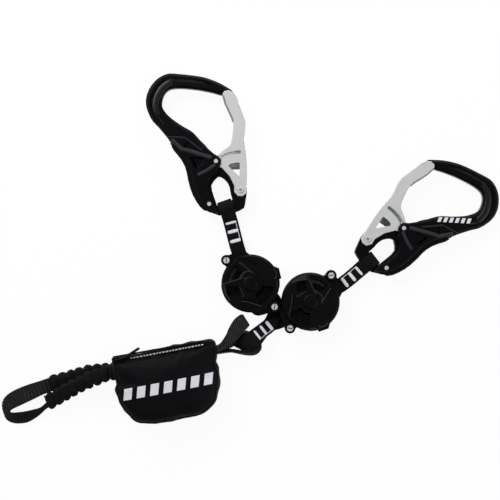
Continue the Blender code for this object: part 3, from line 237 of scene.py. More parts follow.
# Tie-in loop and its two gathered strands: routes in millimetres beside the pouch, other sizes in metres
TIE_OFFSET = 0.08925
TIE_RIB_DEPTH = 0.20
TIE_OUTER = (
    (-8.8, 5.0, 4.2), (-20.0, 1.1, 2.0), (-30.0, -2.1, 1.2), (-40.0, -6.2, 1.0), (-46.8, -10.4, 1.0),
    (-50.5, -15.0, 1.0), (-51.6, -20.5, 1.0), (-50.0, -27.2, 1.0), (-47.2, -32.5, 1.0), (-40.4, -35.4, 1.0),
    (-30.7, -34.9, 1.2), (-23.4, -31.4, 2.0), (-17.5, -27.0, 4.2), (-12.6, -22.6, 7.0), (-8.0, -19.6, 7.0))
TIE_INNER = (
    (-6.0, -6.8, 4.2), (-15.0, -10.0, 6.6), (-25.0, -14.8, 8.2), (-34.0, -19.0, 8.6), (-39.2, -21.4, 8.6),
    (-42.4, -23.2, 8.6), (-43.3, -24.2, 8.6), (-42.6, -25.0, 8.6), (-40.7, -25.3, 8.6), (-36.0, -24.9, 8.6),
    (-30.0, -24.1, 8.4), (-23.6, -22.7, 8.0), (-17.5, -20.8, 7.4), (-12.2, -16.4, 7.0), (-8.0, -13.4, 7.0))
GATHER_ROUTES = {
    "gather_upper": ((-8.8, -1.0, 4.2), (0.0, 2.0, 4.0), (10.0, 4.5, 4.0), (20.0, 7.5, 4.0), (30.0, 9.3, 4.0),
                     (40.0, 10.4, 4.2), (50.0, 11.2, 4.4)),
    "gather_lower": ((-11.6, -16.6, 7.0), (-3.0, -12.2, 8.6), (4.0, -8.0, 10.8), (12.0, -3.5, 12.2),
                     (20.0, 0.5, 12.4), (30.0, 5.0, 12.4), (40.0, 8.5, 12.4), (50.0, 10.8, 12.4))}
SLEEVE_HALF_WIDTH = 0.0072
SLEEVE_HALF_HEIGHT = 0.0038
SLEEVE_KNIT = 0.0009
PLEAT_DEPTH = 0.50
MM = 0.001

# Floor, camera and lamps, in metres and watts
FLOOR_SIZE = 12.0
FLOOR_MIDDLE = (0.0723, 0.1147, -0.0003)
CAMERA_PLACE = (0.0738, 0.1146, 1.25)
SENSOR_WIDTH = 36.0
SHOWN_WIDTH = 0.4305
LAMP_AIM = (0.07, 0.10, 0.0)
LAMPS = (
    ("key", (-0.60, 0.80, 0.80), 12.5, 0.7),
    ("fill", (0.90, -0.30, 0.75), 5.5, 0.9),
    ("rim", (0.25, 1.00, 0.30), 3.5, 0.5))
WORLD_STRENGTH = 0.16
PAPER_GLOW_SHARE = 0.94
ABOVE_ALL = 0.1


def linear(code):
    """Linear light values of an sRGB hex colour."""
    channels = [int(code[k:k + 2], 16) / 255 for k in (1, 3, 5)]
    return tuple(c / 12.92 if c <= 0.04045 else ((c + 0.055) / 1.055) ** 2.4 for c in channels)


def length_property(name, description, default):
    return bpy.props.FloatProperty(name=name, description=description, default=default, min=0.0,
                                   unit="LENGTH")


def colour_property(name, description, code):
    return bpy.props.FloatVectorProperty(name=name, description=description, default=linear(code), size=3,
                                         min=0.0, max=1.0, subtype="COLOR")


class LanyardSizes(bpy.types.PropertyGroup):
    webbing_width: length_property("Webbing width", "Width of the load bearing webbing", 0.0127)
    ply: length_property("Ply", "Thickness of one ply of webbing", 0.0015)
    webbing_rib: length_property("Webbing rib", "Distance between the weft ribs of the webbing", 0.0011)
    tape_rib: length_property("Tie-in rib", "Distance between the ribs of the tie-in loop", 0.0019)
    rest_rib: length_property("Rest loop rib", "Distance between the ribs of the rest loop", 0.0015)
    tack_length: length_property("Bar tack length", "Length of a bar tack across the webbing", 0.0094)
    tack_width: length_property("Bar tack width", "Width of a bar tack along the webbing", 0.0029)
    stitch: length_property("Satin stitch", "Distance between the stitches of a bar tack", 0.00052)
    zip_tooth: length_property("Zip tooth", "Distance between the teeth of the zip coil", 0.0016)
    gather_pleat: length_property("Gather pleat", "Distance between the pleats of a gathered sleeve", 0.0077)


class LanyardColours(bpy.types.PropertyGroup):
    webbing: colour_property("Webbing", "Dyed polyamide webbing", "#040405")
    webbing_high: colour_property("Webbing crown", "Where the rib crowns catch light", "#1d1d20")
    cloth: colour_property("Pouch cloth", "Coated polyester cloth", "#040407")
    cloth_high: colour_property("Pouch cloth crown", "Raised threads of the pouch cloth", "#0a0a0f")
    zip_tape: colour_property("Zip tape", "Pale reflective tape along the zip", "#c9ccd0")
    moulded: colour_property("Moulded black", "Glass filled polyamide of the reels", "#030303")
    anodised: colour_property("Anodised black", "Hard anodised aluminium frame", "#1f1f22")
    silver: colour_property("Silver", "Satin anodised aluminium gate", "#e0e1e1")
    zinc: colour_property("Zinc", "Zinc plated steel screws and rivets", "#eff3f2")
    thread: colour_property("Thread", "White polyester sewing thread", "#efeef6")
    # Painted highlight: the tie-in loop's rib crowns are coloured lighter where they catch light
    tie_rib_highlight: colour_property("Tie-in rib", "Rib crowns of the tie-in loop", "#242428")
    # Painted highlight: the rest loop's rib crowns are coloured lighter where they catch light
    rest_rib: colour_property("Rest loop rib", "Painted highlight on the rib crowns of the rest loop", "#3c3c3a")
    # Painted highlight: the raised ribs and grille bars of the reels are lighter grey where light catches
    # their ridges
    ridge_highlight: colour_property("Ridge highlight", "Painted highlight along raised polyamide edges", "#262624")
    driver_slot: colour_property("Driver slot", "Shadow in the driver slots of the screws", "#3c4443")
    # Painted highlight: the sloping rim facets are coloured lighter where light falls on them
    facet_highlight: colour_property("Facet highlight", "Smooth facets on the reel rims", "#26292b")
    shaded: colour_property("Shaded aluminium", "Inside of the gate's channel", "#d6d8d8")
    # Painted highlight: lighter grey bars along the ridges and pocket edges of the cheeks
    strut: colour_property("Strut", "Raised struts on the carabiner cheeks", "#29292b")
    # Painted shade: near black for the plates in the cheek openings and the rings round the rivets, where
    # shade falls
    deep: colour_property("Painted shade black", "Webs behind the openings of the cheeks", "#030303")
    # Painted sheen: the band round the hook is coloured lighter than the frame, where light catches it
    hook_sheen_band: colour_property("Hook band", "Painted sheen on the band round the hook", "#353538")
    # Painted highlight: a light bluish strip along the gate's outer edge
    gate_lip_highlight: colour_property("Gate lip", "Outer lip of the gate", "#d6dade")
    # Painted shade: darker grey along the gate's inner edge
    gate_facet_shade: colour_property("Gate facet", "Inner edge of the gate", "#8f9092")
    floor: colour_property("Floor", "Plain pale floor", "#ffffff")


def add(tree, kind, inputs=None, **settings):
    """Adds a node with its settings, and fills its sockets with values or links."""
    node = tree.nodes.new(kind)
    for key, value in settings.items():
        setattr(node, key, value)
    for key, value in (inputs or {}).items():
        if isinstance(value, bpy.types.NodeSocket):
            tree.links.new(value, node.inputs[key])
        else:
            node.inputs[key].default_value = value
    return node


def rgba(colour):
    return (colour[0], colour[1], colour[2], 1.0)


def period(distance):
    """Scale at which a wave texture repeats after that distance."""
    return math.pi / 10 / distance


def new_skin(name, **values):
    skin = bpy.data.materials.get(name)
    if skin:
        return skin, None, None
    skin = bpy.data.materials.new(name)
    skin.use_nodes = True
    tree = skin.node_tree
    surface = tree.nodes["Principled BSDF"]
    for key, value in values.items():
        surface.inputs[key.replace("_", " ")].default_value = value
    return skin, tree, surface


def blended(tree, factor, first, second):
    """Colour between two colours by a factor."""
    inputs = {0: factor, 6: rgba(first), 7: rgba(second)}
    return add(tree, "ShaderNodeMix", inputs, data_type="RGBA").outputs[2]


def webbing_skin(name, rib, low, high, coarse=False):
    """Woven polyamide: weft ribs across and fine warp ends along, a soft dull sheen on the rib crowns."""
    skin, tree, surface = new_skin(name, Roughness=0.72)
    if tree is None:
        return skin
    # The warp ends are 0.25 mm apart in the real webbing, drawn at 0.5 mm so that they show.
    surface.inputs["Sheen Weight"].default_value = 0.03
    surface.inputs["Specular IOR Level"].default_value = 0.10
    uv = add(tree, "ShaderNodeUVMap", uv_map="UVMap").outputs["UV"]
    rib_wave = {"Vector": uv, "Scale": period(rib), "Distortion": 0.5, "Detail": 1.0, "Detail Scale": 1.4}
    ribs = add(tree, "ShaderNodeTexWave", rib_wave, wave_type="BANDS", bands_direction="Y",
               wave_profile="SIN").outputs["Fac"]
    end_wave = {"Vector": uv, "Scale": period(0.0005), "Distortion": 0.8, "Detail": 1.0}
    ends = add(tree, "ShaderNodeTexWave", end_wave, wave_type="BANDS", bands_direction="X",
               wave_profile="SIN").outputs["Fac"]
    place = add(tree, "ShaderNodeTexCoord").outputs["Object"]
    wear = add(tree, "ShaderNodeTexNoise", {"Vector": place, "Scale": 220.0, "Detail": 4.0}).outputs["Fac"]
    weave = ribs
    if not coarse:
        weave = add(tree, "ShaderNodeMath", {0: ribs, 1: ends}, operation="MULTIPLY").outputs[0]
    toned = add(tree, "ShaderNodeMath", {0: weave, 1: wear}, operation="MULTIPLY").outputs[0]
    doubled = add(tree, "ShaderNodeMath", {0: toned, 1: 1.5}, operation="MULTIPLY", use_clamp=True).outputs[0]
    tree.links.new(blended(tree, doubled, low, high), surface.inputs["Base Color"])
    bump = add(tree, "ShaderNodeBump", {"Height": weave, "Strength": 0.8, "Distance": 0.00022})
    tree.links.new(bump.outputs["Normal"], surface.inputs["Normal"])
    return skin


def load_webbing(sizes, colours):
    return webbing_skin("polyamide_webbing", sizes.webbing_rib, colours.webbing, colours.webbing_high)


def cloth_skin(colours):
    """Coated plain weave polyester: dark cloth with a faint blue grey sheen and a fine grid of threads."""
    skin, tree, surface = new_skin("coated_polyester_cloth", Roughness=0.62)
    if tree is None:
        return skin
    # Threads are 0.3 mm apart in the real cloth, drawn at 0.8 mm so that they show.
    surface.inputs["Sheen Weight"].default_value = 0.02
    surface.inputs["Sheen Roughness"].default_value = 0.45
    surface.inputs["Specular IOR Level"].default_value = 0.10
    place = add(tree, "ShaderNodeTexCoord").outputs["Object"]
    rotation = (0.0, 0.0, math.radians(-POUCH_TURN))
    turned_place = add(tree, "ShaderNodeMapping", {"Vector": place, "Rotation": rotation})
    place_in_line = turned_place.outputs["Vector"]
    wave = {"Vector": place_in_line, "Scale": period(0.0008), "Distortion": 0.9, "Detail": 1.0}
    waves = [add(tree, "ShaderNodeTexWave", wave, wave_type="BANDS", bands_direction=axis, wave_profile="SIN")
             for axis in ("X", "Y")]
    weave = add(tree, "ShaderNodeMath", {0: waves[0].outputs["Fac"], 1: waves[1].outputs["Fac"]},
                operation="MULTIPLY").outputs[0]
    soft = add(tree, "ShaderNodeTexNoise", {"Vector": place, "Scale": 60.0, "Detail": 5.0}).outputs["Fac"]
    tone = add(tree, "ShaderNodeMath", {0: weave, 1: soft}, operation="MULTIPLY").outputs[0]
    tree.links.new(blended(tree, tone, colours.cloth, colours.cloth_high), surface.inputs["Base Color"])
    height = add(tree, "ShaderNodeMath", {0: weave, 1: soft}, operation="ADD").outputs[0]
    bump = add(tree, "ShaderNodeBump", {"Height": height, "Strength": 0.45, "Distance": 0.00020})
    tree.links.new(bump.outputs["Normal"], surface.inputs["Normal"])
    return skin


def plastic_skin(name, colour, roughness, grain=0.0006, edge=0.0004):
    """Moulded glass filled polyamide: near black, a fine spark eroded grain and soft moulded edges."""
    skin, tree, surface = new_skin(name, Roughness=roughness)
    if tree is None:
        return skin
    surface.inputs["Specular IOR Level"].default_value = 0.12
    place = add(tree, "ShaderNodeTexCoord").outputs["Object"]
    speckle = {"Vector": place, "Scale": 1 / grain, "Detail": 3.0}
    fine = add(tree, "ShaderNodeTexNoise", speckle).outputs["Fac"]
    broad = add(tree, "ShaderNodeTexNoise", {"Vector": place, "Scale": 90.0, "Detail": 4.0}).outputs["Fac"]
    lighter = tuple(min(1.0, c * 1.5 + 0.0005) for c in colour)
    tree.links.new(blended(tree, broad, colour, lighter), surface.inputs["Base Color"])
    shine = add(tree, "ShaderNodeMapRange",
                {"Value": broad, "To Min": roughness - 0.08, "To Max": roughness + 0.10})
    tree.links.new(shine.outputs["Result"], surface.inputs["Roughness"])
    soft_edge = add(tree, "ShaderNodeBevel", {"Radius": edge}, samples=4).outputs["Normal"]
    bump = add(tree, "ShaderNodeBump",
               {"Height": fine, "Strength": 0.35, "Distance": 0.00008, "Normal": soft_edge})
    tree.links.new(bump.outputs["Normal"], surface.inputs["Normal"])
    return skin


def metal_skin(name, colour, roughness, metallic, grain, edge, brushed=0.0):
    """Finished metal: a fine grain or brushing that spreads the light, and edges rounded by tumbling."""
    skin, tree, surface = new_skin(name, Roughness=roughness, Metallic=metallic)
    if tree is None:
        return skin
    place = add(tree, "ShaderNodeTexCoord").outputs["Object"]
    stretched = add(tree, "ShaderNodeMapping", {"Vector": place, "Scale": (1.0, 1.0 + brushed, 1.0)})
    fine = add(tree, "ShaderNodeTexNoise", {"Vector": stretched.outputs["Vector"], "Scale": 1 / grain,
               "Detail": 4.0}).outputs["Fac"]
    broad = add(tree, "ShaderNodeTexNoise", {"Vector": place, "Scale": 60.0, "Detail": 3.0}).outputs["Fac"]
    darker = tuple(c * 0.82 for c in colour)
    tree.links.new(blended(tree, broad, darker, colour), surface.inputs["Base Color"])
    shine = add(tree, "ShaderNodeMapRange",
                {"Value": fine, "To Min": roughness - 0.06, "To Max": roughness + 0.08})
    tree.links.new(shine.outputs["Result"], surface.inputs["Roughness"])
    soft_edge = add(tree, "ShaderNodeBevel", {"Radius": edge}, samples=4).outputs["Normal"]
    bump = add(tree, "ShaderNodeBump",
               {"Height": fine, "Strength": 0.20, "Distance": 0.00005, "Normal": soft_edge})
    tree.links.new(bump.outputs["Normal"], surface.inputs["Normal"])
    return skin


def thread_skin(colour):
    """Bright polyester sewing thread: white with a silky sheen and fine twisted strands."""
    skin, tree, surface = new_skin("polyester_thread", Roughness=0.55)
    if tree is None:
        return skin
    surface.inputs["Sheen Weight"].default_value = 0.3
    uv = add(tree, "ShaderNodeUVMap", uv_map="UVMap").outputs["UV"]
    twist = add(tree, "ShaderNodeTexWave", {"Vector": uv, "Scale": period(0.0004), "Distortion": 1.0},
                wave_type="BANDS", bands_direction="DIAGONAL").outputs["Fac"]
    grey = tuple(c * 0.72 for c in colour)
    tree.links.new(blended(tree, twist, grey, colour), surface.inputs["Base Color"])
    bump = add(tree, "ShaderNodeBump", {"Height": twist, "Strength": 0.5, "Distance": 0.00008})
    tree.links.new(bump.outputs["Normal"], surface.inputs["Normal"])
    return skin


def zip_skin(colour):
    """Reflective coated zip tape: pale, with a fine woven grain."""
    skin, tree, surface = new_skin("coated_zip_tape", Roughness=0.45)
    if tree is None:
        return skin
    place = add(tree, "ShaderNodeTexCoord").outputs["Object"]
    weave = add(tree, "ShaderNodeTexWave", {"Vector": place, "Scale": period(0.0007), "Distortion": 1.5},
                wave_type="BANDS", bands_direction="X").outputs["Fac"]
    soil = add(tree, "ShaderNodeTexNoise", {"Vector": place, "Scale": 150.0, "Detail": 5.0}).outputs["Fac"]
    darker = tuple(c * 0.62 for c in colour)
    tree.links.new(blended(tree, soil, darker, colour), surface.inputs["Base Color"])
    bump = add(tree, "ShaderNodeBump", {"Height": weave, "Strength": 0.5, "Distance": 0.0001})
    tree.links.new(bump.outputs["Normal"], surface.inputs["Normal"])
    return skin


def polar(radius, degrees):
    angle = math.radians(degrees)
    return Vector((radius * math.cos(angle), radius * math.sin(angle)))


def bezier(start, start_heading, end, end_heading, samples=40):
    a, d = Vector(start), Vector(end)
    reach = (d - a).length / 3
    b = a + polar(reach, start_heading)
    c = d - polar(reach, end_heading)
    points = []
    for k in range(samples + 1):
        t = k / samples
        u = 1 - t
        points.append(a * u ** 3 + b * 3 * u * u * t + c * 3 * u * t * t + d * t ** 3)
    return points


def smoothed(points, steps):
    """Points of an open curve that runs through the given ones."""
    found = []
    last = len(points) - 1
    for index in range(last):
        p0, p1, p2, p3 = (Vector(points[min(max(index + k, 0), last)]) for k in (-1, 0, 1, 2))
        for step in range(steps):
            t = step / steps
            found.append((p1 * 2 + (p2 - p0) * t + (p0 * 2 - p1 * 5 + p2 * 4 - p3) * t * t
                          + (p1 * 3 - p0 - p2 * 3 + p3) * t ** 3) / 2)
    found.append(Vector(points[-1]))
    return found


def walked(points, distance):
    """Point and direction at a distance along a route, run on straight past its ends."""
    travelled = 0.0
    for first, second in zip(points, points[1:]):
        step = (second - first).length
        if travelled + step >= distance or second is points[-1]:
            along = (second - first).normalized()
            return first + along * (distance - travelled), along
        travelled += step
    return points[-1], along


def route_length(points):
    return sum((b - a).length for a, b in zip(points, points[1:]))


def relaxed(points, times):
    """An open run of points with its kinks eased."""
    for _ in range(times):
        eased = [(a + b * 2 + c) / 4 for a, b, c in zip(points, points[1:], points[2:])]
        points = points[:1] + eased + points[-1:]
    return points


def evenly(points, step):
    """The same route with points at even distances."""
    total = route_length(points)
    count = max(4, round(total / step))
    return [walked(points, total * k / count)[0] for k in range(count + 1)]


def deselect():
    if bpy.context.object and bpy.context.object.mode != "OBJECT":
        bpy.ops.object.mode_set(mode="OBJECT")
    bpy.ops.object.select_all(action="DESELECT")


def pick(pieces):
    """Selects these pieces alone, the first of them active."""
    deselect()
    for piece in pieces:
        piece.select_set(True)
    bpy.context.view_layer.objects.active = pieces[0]


def joined(pieces, name):
    """Several pieces made into one."""
    pick(pieces)
    bpy.ops.object.join()
    whole = bpy.context.object
    whole.name = name
    return whole


def sweep(name, rows, columns, spot, uv_size):
    """A grid shaped into a closed skin: columns go round, rows go along, and the ends are filled."""
    deselect()
    bpy.ops.mesh.primitive_grid_add(x_subdivisions=columns, y_subdivisions=rows, size=1.0)
    piece = bpy.context.object
    piece.name = name
    piece.data.name = name
    for vertex in piece.data.vertices:
        column = round((vertex.co.x + 0.5) * columns)
        row = round((vertex.co.y + 0.5) * rows)
        vertex.co = spot(row, column % columns)
    for loop in piece.data.uv_layers.active.data:
        loop.uv = (loop.uv[0] * uv_size[0], loop.uv[1] * uv_size[1])
    bpy.ops.object.mode_set(mode="EDIT")
    bpy.ops.mesh.select_all(action="SELECT")
    bpy.ops.mesh.remove_doubles(threshold=1e-6)
    bpy.ops.mesh.select_all(action="SELECT")
    bpy.ops.mesh.fill_holes(sides=0)
    bpy.ops.mesh.select_all(action="SELECT")
    bpy.ops.mesh.normals_make_consistent(inside=False)
    bpy.ops.object.mode_set(mode="OBJECT")
    return piece


def strap_section(width, thickness):
    """Points round a flat strap with rounded selvedges, and the distance round it."""
    radius = thickness / 2
    flat = width / 2 - radius
    top = [(flat - 2 * flat * k / 7, radius) for k in range(8)]
    corners = [math.pi * k / 4 for k in (1, 2, 3)]
    left = [(-flat - radius * math.sin(angle), radius * math.cos(angle)) for angle in corners]
    bottom = [(-x, -y) for x, y in top]
    right = [(-x, -y) for x, y in left]
    return top + left + bottom + right


def lay_strap(name, stations, thickness, rib, depth=0.06):
    """A strap along stations of centre, across, normal and width, with its woven ribs in the mesh."""
    centres = [station[0] for station in stations]
    rows = len(stations) - 1
    sections = {}
    columns = len(strap_section(0.01, thickness))
    travelled = [0.0]
    for first, second in zip(centres, centres[1:]):
        travelled.append(travelled[-1] + (second - first).length)

    def spot(row, column):
        centre, across, normal, width = stations[row]
        key = round(width, 6)
        if key not in sections:
            sections[key] = strap_section(width, thickness)
        x, y = sections[key][column]
        swell = 1.0 - depth * (1.0 + math.cos(math.tau * travelled[row] / rib))
        edge = 1.0 - depth * 0.06 * (1.0 + math.cos(math.tau * travelled[row] / rib))
        return centre + across * x * edge + normal * y * swell

    round_length = (stations[0][3] + thickness) * 2
    return sweep(name, rows, columns, spot, (round_length, travelled[-1]))


def stations_flat(route, line, width, level):
    """Stations of a strap that follows a route from above and a line of distance and height from the side."""
    found = []
    for index, (distance, height) in enumerate(line):
        before, after = line[max(index - 1, 0)], line[min(index + 1, len(line) - 1)]
        run, rise = after[0] - before[0], after[1] - before[1]
        size = math.hypot(run, rise)
        centre, along = walked(route, distance)
        across = Vector((-along.y, along.x, 0.0))
        normal = Vector((along.x * -rise, along.y * -rise, run)) / size
        found.append((Vector((centre.x, centre.y, level + height)), across, normal, width))
    return found


def stations_between(rim_a, rim_b, step):
    """Stations of a strap between its two selvedges."""
    middle = [(a + b) / 2 for a, b in zip(rim_a, rim_b)]
    count = max(4, round(route_length(middle) / step))
    found = []
    for k in range(count + 1):
        place = (len(rim_a) - 1) * k / count
        index = min(int(place), len(rim_a) - 2)
        share = place - index
        a = rim_a[index].lerp(rim_a[index + 1], share)
        b = rim_b[index].lerp(rim_b[index + 1], share)
        along = (rim_a[index + 1] + rim_b[index + 1] - rim_a[index] - rim_b[index]).normalized()
        across = (b - a).normalized()
        normal = along.cross(across).normalized()
        if normal.z < 0:
            normal = -normal
        found.append(((a + b) / 2, across, normal, (b - a).length))
    return found


def eye_line(bore, ply, neck, sewn, far, step):
    """Side view of webbing folded back round a bar: the long end, the fold and the short end."""
    reach = bore + ply / 2
    first = math.acos(reach / neck)
    line = [Vector((far, 0.0))] if far > sewn else []
    if line:
        line += [Vector((sewn + ply * 4, 0.0)), Vector((sewn + ply, ply * 0.4))]
    line += [Vector((sewn, ply / 2)), Vector((neck, ply / 2 + 0.0001))]
    for k in range(25):
        line.append(polar(reach, math.degrees(first + (math.tau - 2 * first) * k / 24)))
    line += [Vector((neck, -ply / 2 - 0.0001)), Vector((sewn, -ply / 2))]
    return evenly(line, step)


def turned(x, y, degrees):
    return Matrix.Rotation(math.radians(degrees), 2) @ Vector((x, y))


def on_pouch(x, y, z):
    """Point of the pouch's own frame, in metres, in the row frame."""
    spot = turned(x, y, POUCH_TURN)
    return Vector((spot.x, spot.y, z))


def top_middle(name):
    """Middle of the top of a piece of the frame."""
    low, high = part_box(name)
    return Vector(((low.x + high.x) / 2, (low.y + high.y) / 2, high.z))


def reel_centre(side):
    return top_middle("reel_axle_" + side).xy


def on_reel(side, x, y, z):
    """Point of a reel's own frame, in millimetres from its axle, in the row frame."""
    spot = reel_centre(side) + turned(x * MM, y * MM, REEL_TURN[side])
    return Vector((spot.x, spot.y, z))


def finish_piece(piece, skin, smooth=50.0, body=None, replaced=()):
    """Material, shading and body of a finished piece."""
    pick([piece])
    piece.data.materials.clear()
    piece.data.materials.append(skin)
    bpy.ops.object.shade_smooth_by_angle(angle=math.radians(smooth))
    if replaced:
        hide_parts(*replaced)
    if body:
        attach(piece, body)
    return piece


def rod(name, points, radius, sides=8, squash=1.0):
    """A round or flattened rod along points."""
    rows = len(points) - 1

    def spot(row, column):
        before, after = points[max(row - 1, 0)], points[min(row + 1, rows)]
        along = (after - before).normalized()
        side = along.cross(Vector((0.0, 0.0, 1.0)))
        side = side.normalized() if side.length > 0.05 else Vector((1.0, 0.0, 0.0))
        lift = side.cross(along).normalized()
        angle = math.tau * column / sides
        size = radius(row / rows) if callable(radius) else radius
        return points[row] + side * size * math.cos(angle) + lift * size * squash * math.sin(angle)

    return sweep(name, rows, sides, spot, (math.tau * 0.001, route_length(points)))


def satin_bar(name, start, end, width, height, stitch):
    """A bar tack: satin stitches side by side across a raised bar."""
    total = (end - start).length
    rows = max(8, round(total / stitch) * 4)
    along = (end - start).normalized()
    side = along.cross(Vector((0.0, 0.0, 1.0))).normalized()
    lift = side.cross(along)
    sides = 12

    def spot(row, column):
        distance = total * row / rows
        ridge = 0.84 + 0.16 * abs(math.sin(math.pi * distance / stitch))
        tip = min(1.0, 0.55 + min(distance, total - distance) / width)
        angle = math.tau * column / sides
        flat = math.copysign(abs(math.cos(angle)) ** 0.6, math.cos(angle))
        return (start + along * distance + side * flat * width / 2 * tip * (0.94 + 0.06 * ridge)
                + lift * math.sin(angle) * height / 2 * ridge * tip)

    return sweep(name, rows, sides, spot, (width * 2, total))


def turned_ring(name, middle, profile, sides):
    """A ring round an upright axis, from its section of radius and height in millimetres."""

    def spot(row, column):
        radius, height = profile[column]
        return middle + Vector((*polar(radius * MM, 360.0 * row / sides), height * MM))

    return sweep(name, sides, len(profile), spot, (0.01, 0.02))


def surface_below(pieces):
    """Search tree over the surface of some pieces."""
    points, faces = [], []
    for piece in pieces:
        offset = len(points)
        points += [piece.matrix_world @ vertex.co for vertex in piece.data.vertices]
        faces += [[index + offset for index in polygon.vertices] for polygon in piece.data.polygons]
    return BVHTree.FromPolygons(points, faces)


def landed(tree, place):
    """Where a point seen from above meets the surface, or None beside it."""
    return tree.ray_cast(Vector((place.x, place.y, ABOVE_ALL)), Vector((0.0, 0.0, -1.0)))[0]


def repaint(names, skin):
    for name in names:
        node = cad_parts[name]
        for slot in node.material_slots:
            slot.material = skin


class LANYARD_OT_stage(bpy.types.Operator):
    """Camera straight above, pale floor and soft lamps"""
    bl_idname = "lanyard.stage"
    bl_label = "Stage"

    def execute(self, context):
        deselect()
        colours = context.scene.lanyard_colours
        bpy.ops.mesh.primitive_plane_add(size=FLOOR_SIZE, location=FLOOR_MIDDLE)
        floor = context.object
        floor.name = "floor"
        floor.data.materials.append(self.floor_skin(colours.floor))
        bpy.ops.object.camera_add(location=CAMERA_PLACE, rotation=(0.0, 0.0, 0.0))
        camera = context.object
        camera.data.sensor_width = SENSOR_WIDTH
        camera.data.lens = SENSOR_WIDTH * (CAMERA_PLACE[2] - WEB_LEVEL) / SHOWN_WIDTH
        context.scene.camera = camera
        for name, place, power, size in LAMPS:
            bpy.ops.object.light_add(type="AREA", location=place)
            lamp = context.object
            lamp.name = name
            lamp.data.energy = power
            lamp.data.size = size
            aim = Vector(LAMP_AIM) - lamp.location
            lamp.rotation_euler = aim.to_track_quat("-Z", "Y").to_euler()
        world = context.scene.world or bpy.data.worlds.new("studio")
        context.scene.world = world
        world.use_nodes = True
        background = world.node_tree.nodes["Background"]
        background.inputs["Color"].default_value = (1.0, 1.0, 1.0, 1.0)
        background.inputs["Strength"].default_value = WORLD_STRENGTH
        context.scene.view_settings.view_transform = "Standard"
        return {"FINISHED"}

    def floor_skin(self, colour):
        """Matt white paper: white to the camera, with the object's shadow kept faintly."""
        skin, tree, surface = new_skin("matt_white_paper", Roughness=0.9)
        surface.inputs["Base Color"].default_value = rgba(colour)
        grain = add(tree, "ShaderNodeTexNoise", {"Scale": 900.0, "Detail": 2.0}).outputs["Fac"]
        bump = add(tree, "ShaderNodeBump", {"Height": grain, "Strength": 0.02, "Distance": 0.0002})
        tree.links.new(bump.outputs["Normal"], surface.inputs["Normal"])
        glow = add(tree, "ShaderNodeEmission", {"Color": rgba(colour), "Strength": 1.0})
        path = add(tree, "ShaderNodeLightPath")
        seen = path.outputs["Is Camera Ray"]
        for kind in ("Is Glossy Ray", "Is Transmission Ray"):
            seen = add(tree, "ShaderNodeMath", {0: seen, 1: path.outputs[kind]}, operation="ADD",
                       use_clamp=True).outputs[0]
        share = add(tree, "ShaderNodeMath", {0: seen, 1: PAPER_GLOW_SHARE}, operation="MULTIPLY").outputs[0]
        both = add(tree, "ShaderNodeMixShader",
                   {0: share, 1: surface.outputs["BSDF"], 2: glow.outputs["Emission"]})
        tree.links.new(both.outputs["Shader"], tree.nodes["Material Output"].inputs["Surface"])
        return skin


def arm_route(side):
    """Centre line of an arm from the carabiner's bar to inside its reel."""
    bar = Vector(BAR_PLACE[side])
    heading = ARM_MOUTH_ANGLE + REEL_TURN[side]
    inner_end = reel_centre(side) + polar(MOUTH_INSIDE, heading)
    up_heading = 90.0 + CARABINER_TURN[side]
    start = bar - polar(EYE_SHIFT, up_heading - 90.0) * CARABINER_FACE[side]
    return bezier(start, up_heading + 180.0, inner_end, heading + 180.0)


def trunk_route():
    return bezier(STRAP_CROSSING, STRAP_HEADING, JUNCTION, STRAP_HEADING, 30)


def leg_route(side):
    heading = LEG_MOUTH_ANGLE[side] + REEL_TURN[side]
    end = reel_centre(side) + polar(MOUTH_INSIDE, heading)
    root = Vector(JUNCTION) - polar(LEG_ROOT_BACK, STRAP_HEADING)
    return bezier(root, LEG_START_HEADING[side], end, heading + 180.0)


class LANYARD_OT_arms(bpy.types.Operator):
    """Webbing arms, folded round the carabiner bars and drawn out of the reels"""
    bl_idname = "lanyard.arms"
    bl_label = "Arms"

    def execute(self, context):
        sizes, colours = context.scene.lanyard_sizes, context.scene.lanyard_colours
        skin = load_webbing(sizes, colours)
        for side in SIDES:
            route = arm_route(side)
            total = route_length(route)
            sewn = SEWN_LENGTH[side]
            line = eye_line(BAR_BORE, sizes.ply, BAR_NECK, sewn, total, sizes.webbing_rib / 4)
            stations = stations_flat(route, line, sizes.webbing_width, WEB_LEVEL)
            arm = lay_strap("arm_webbing_" + side, stations, sizes.ply, sizes.webbing_rib)
            finish_piece(arm, skin, replaced=("arm_eye_" + side, "arm_tape_" + side))
            start, _ = walked(route, total - 0.001)
            end, _ = walked(route, sewn + 0.001)
            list(start)
            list(end)
            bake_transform(arm)
        return {"FINISHED"}


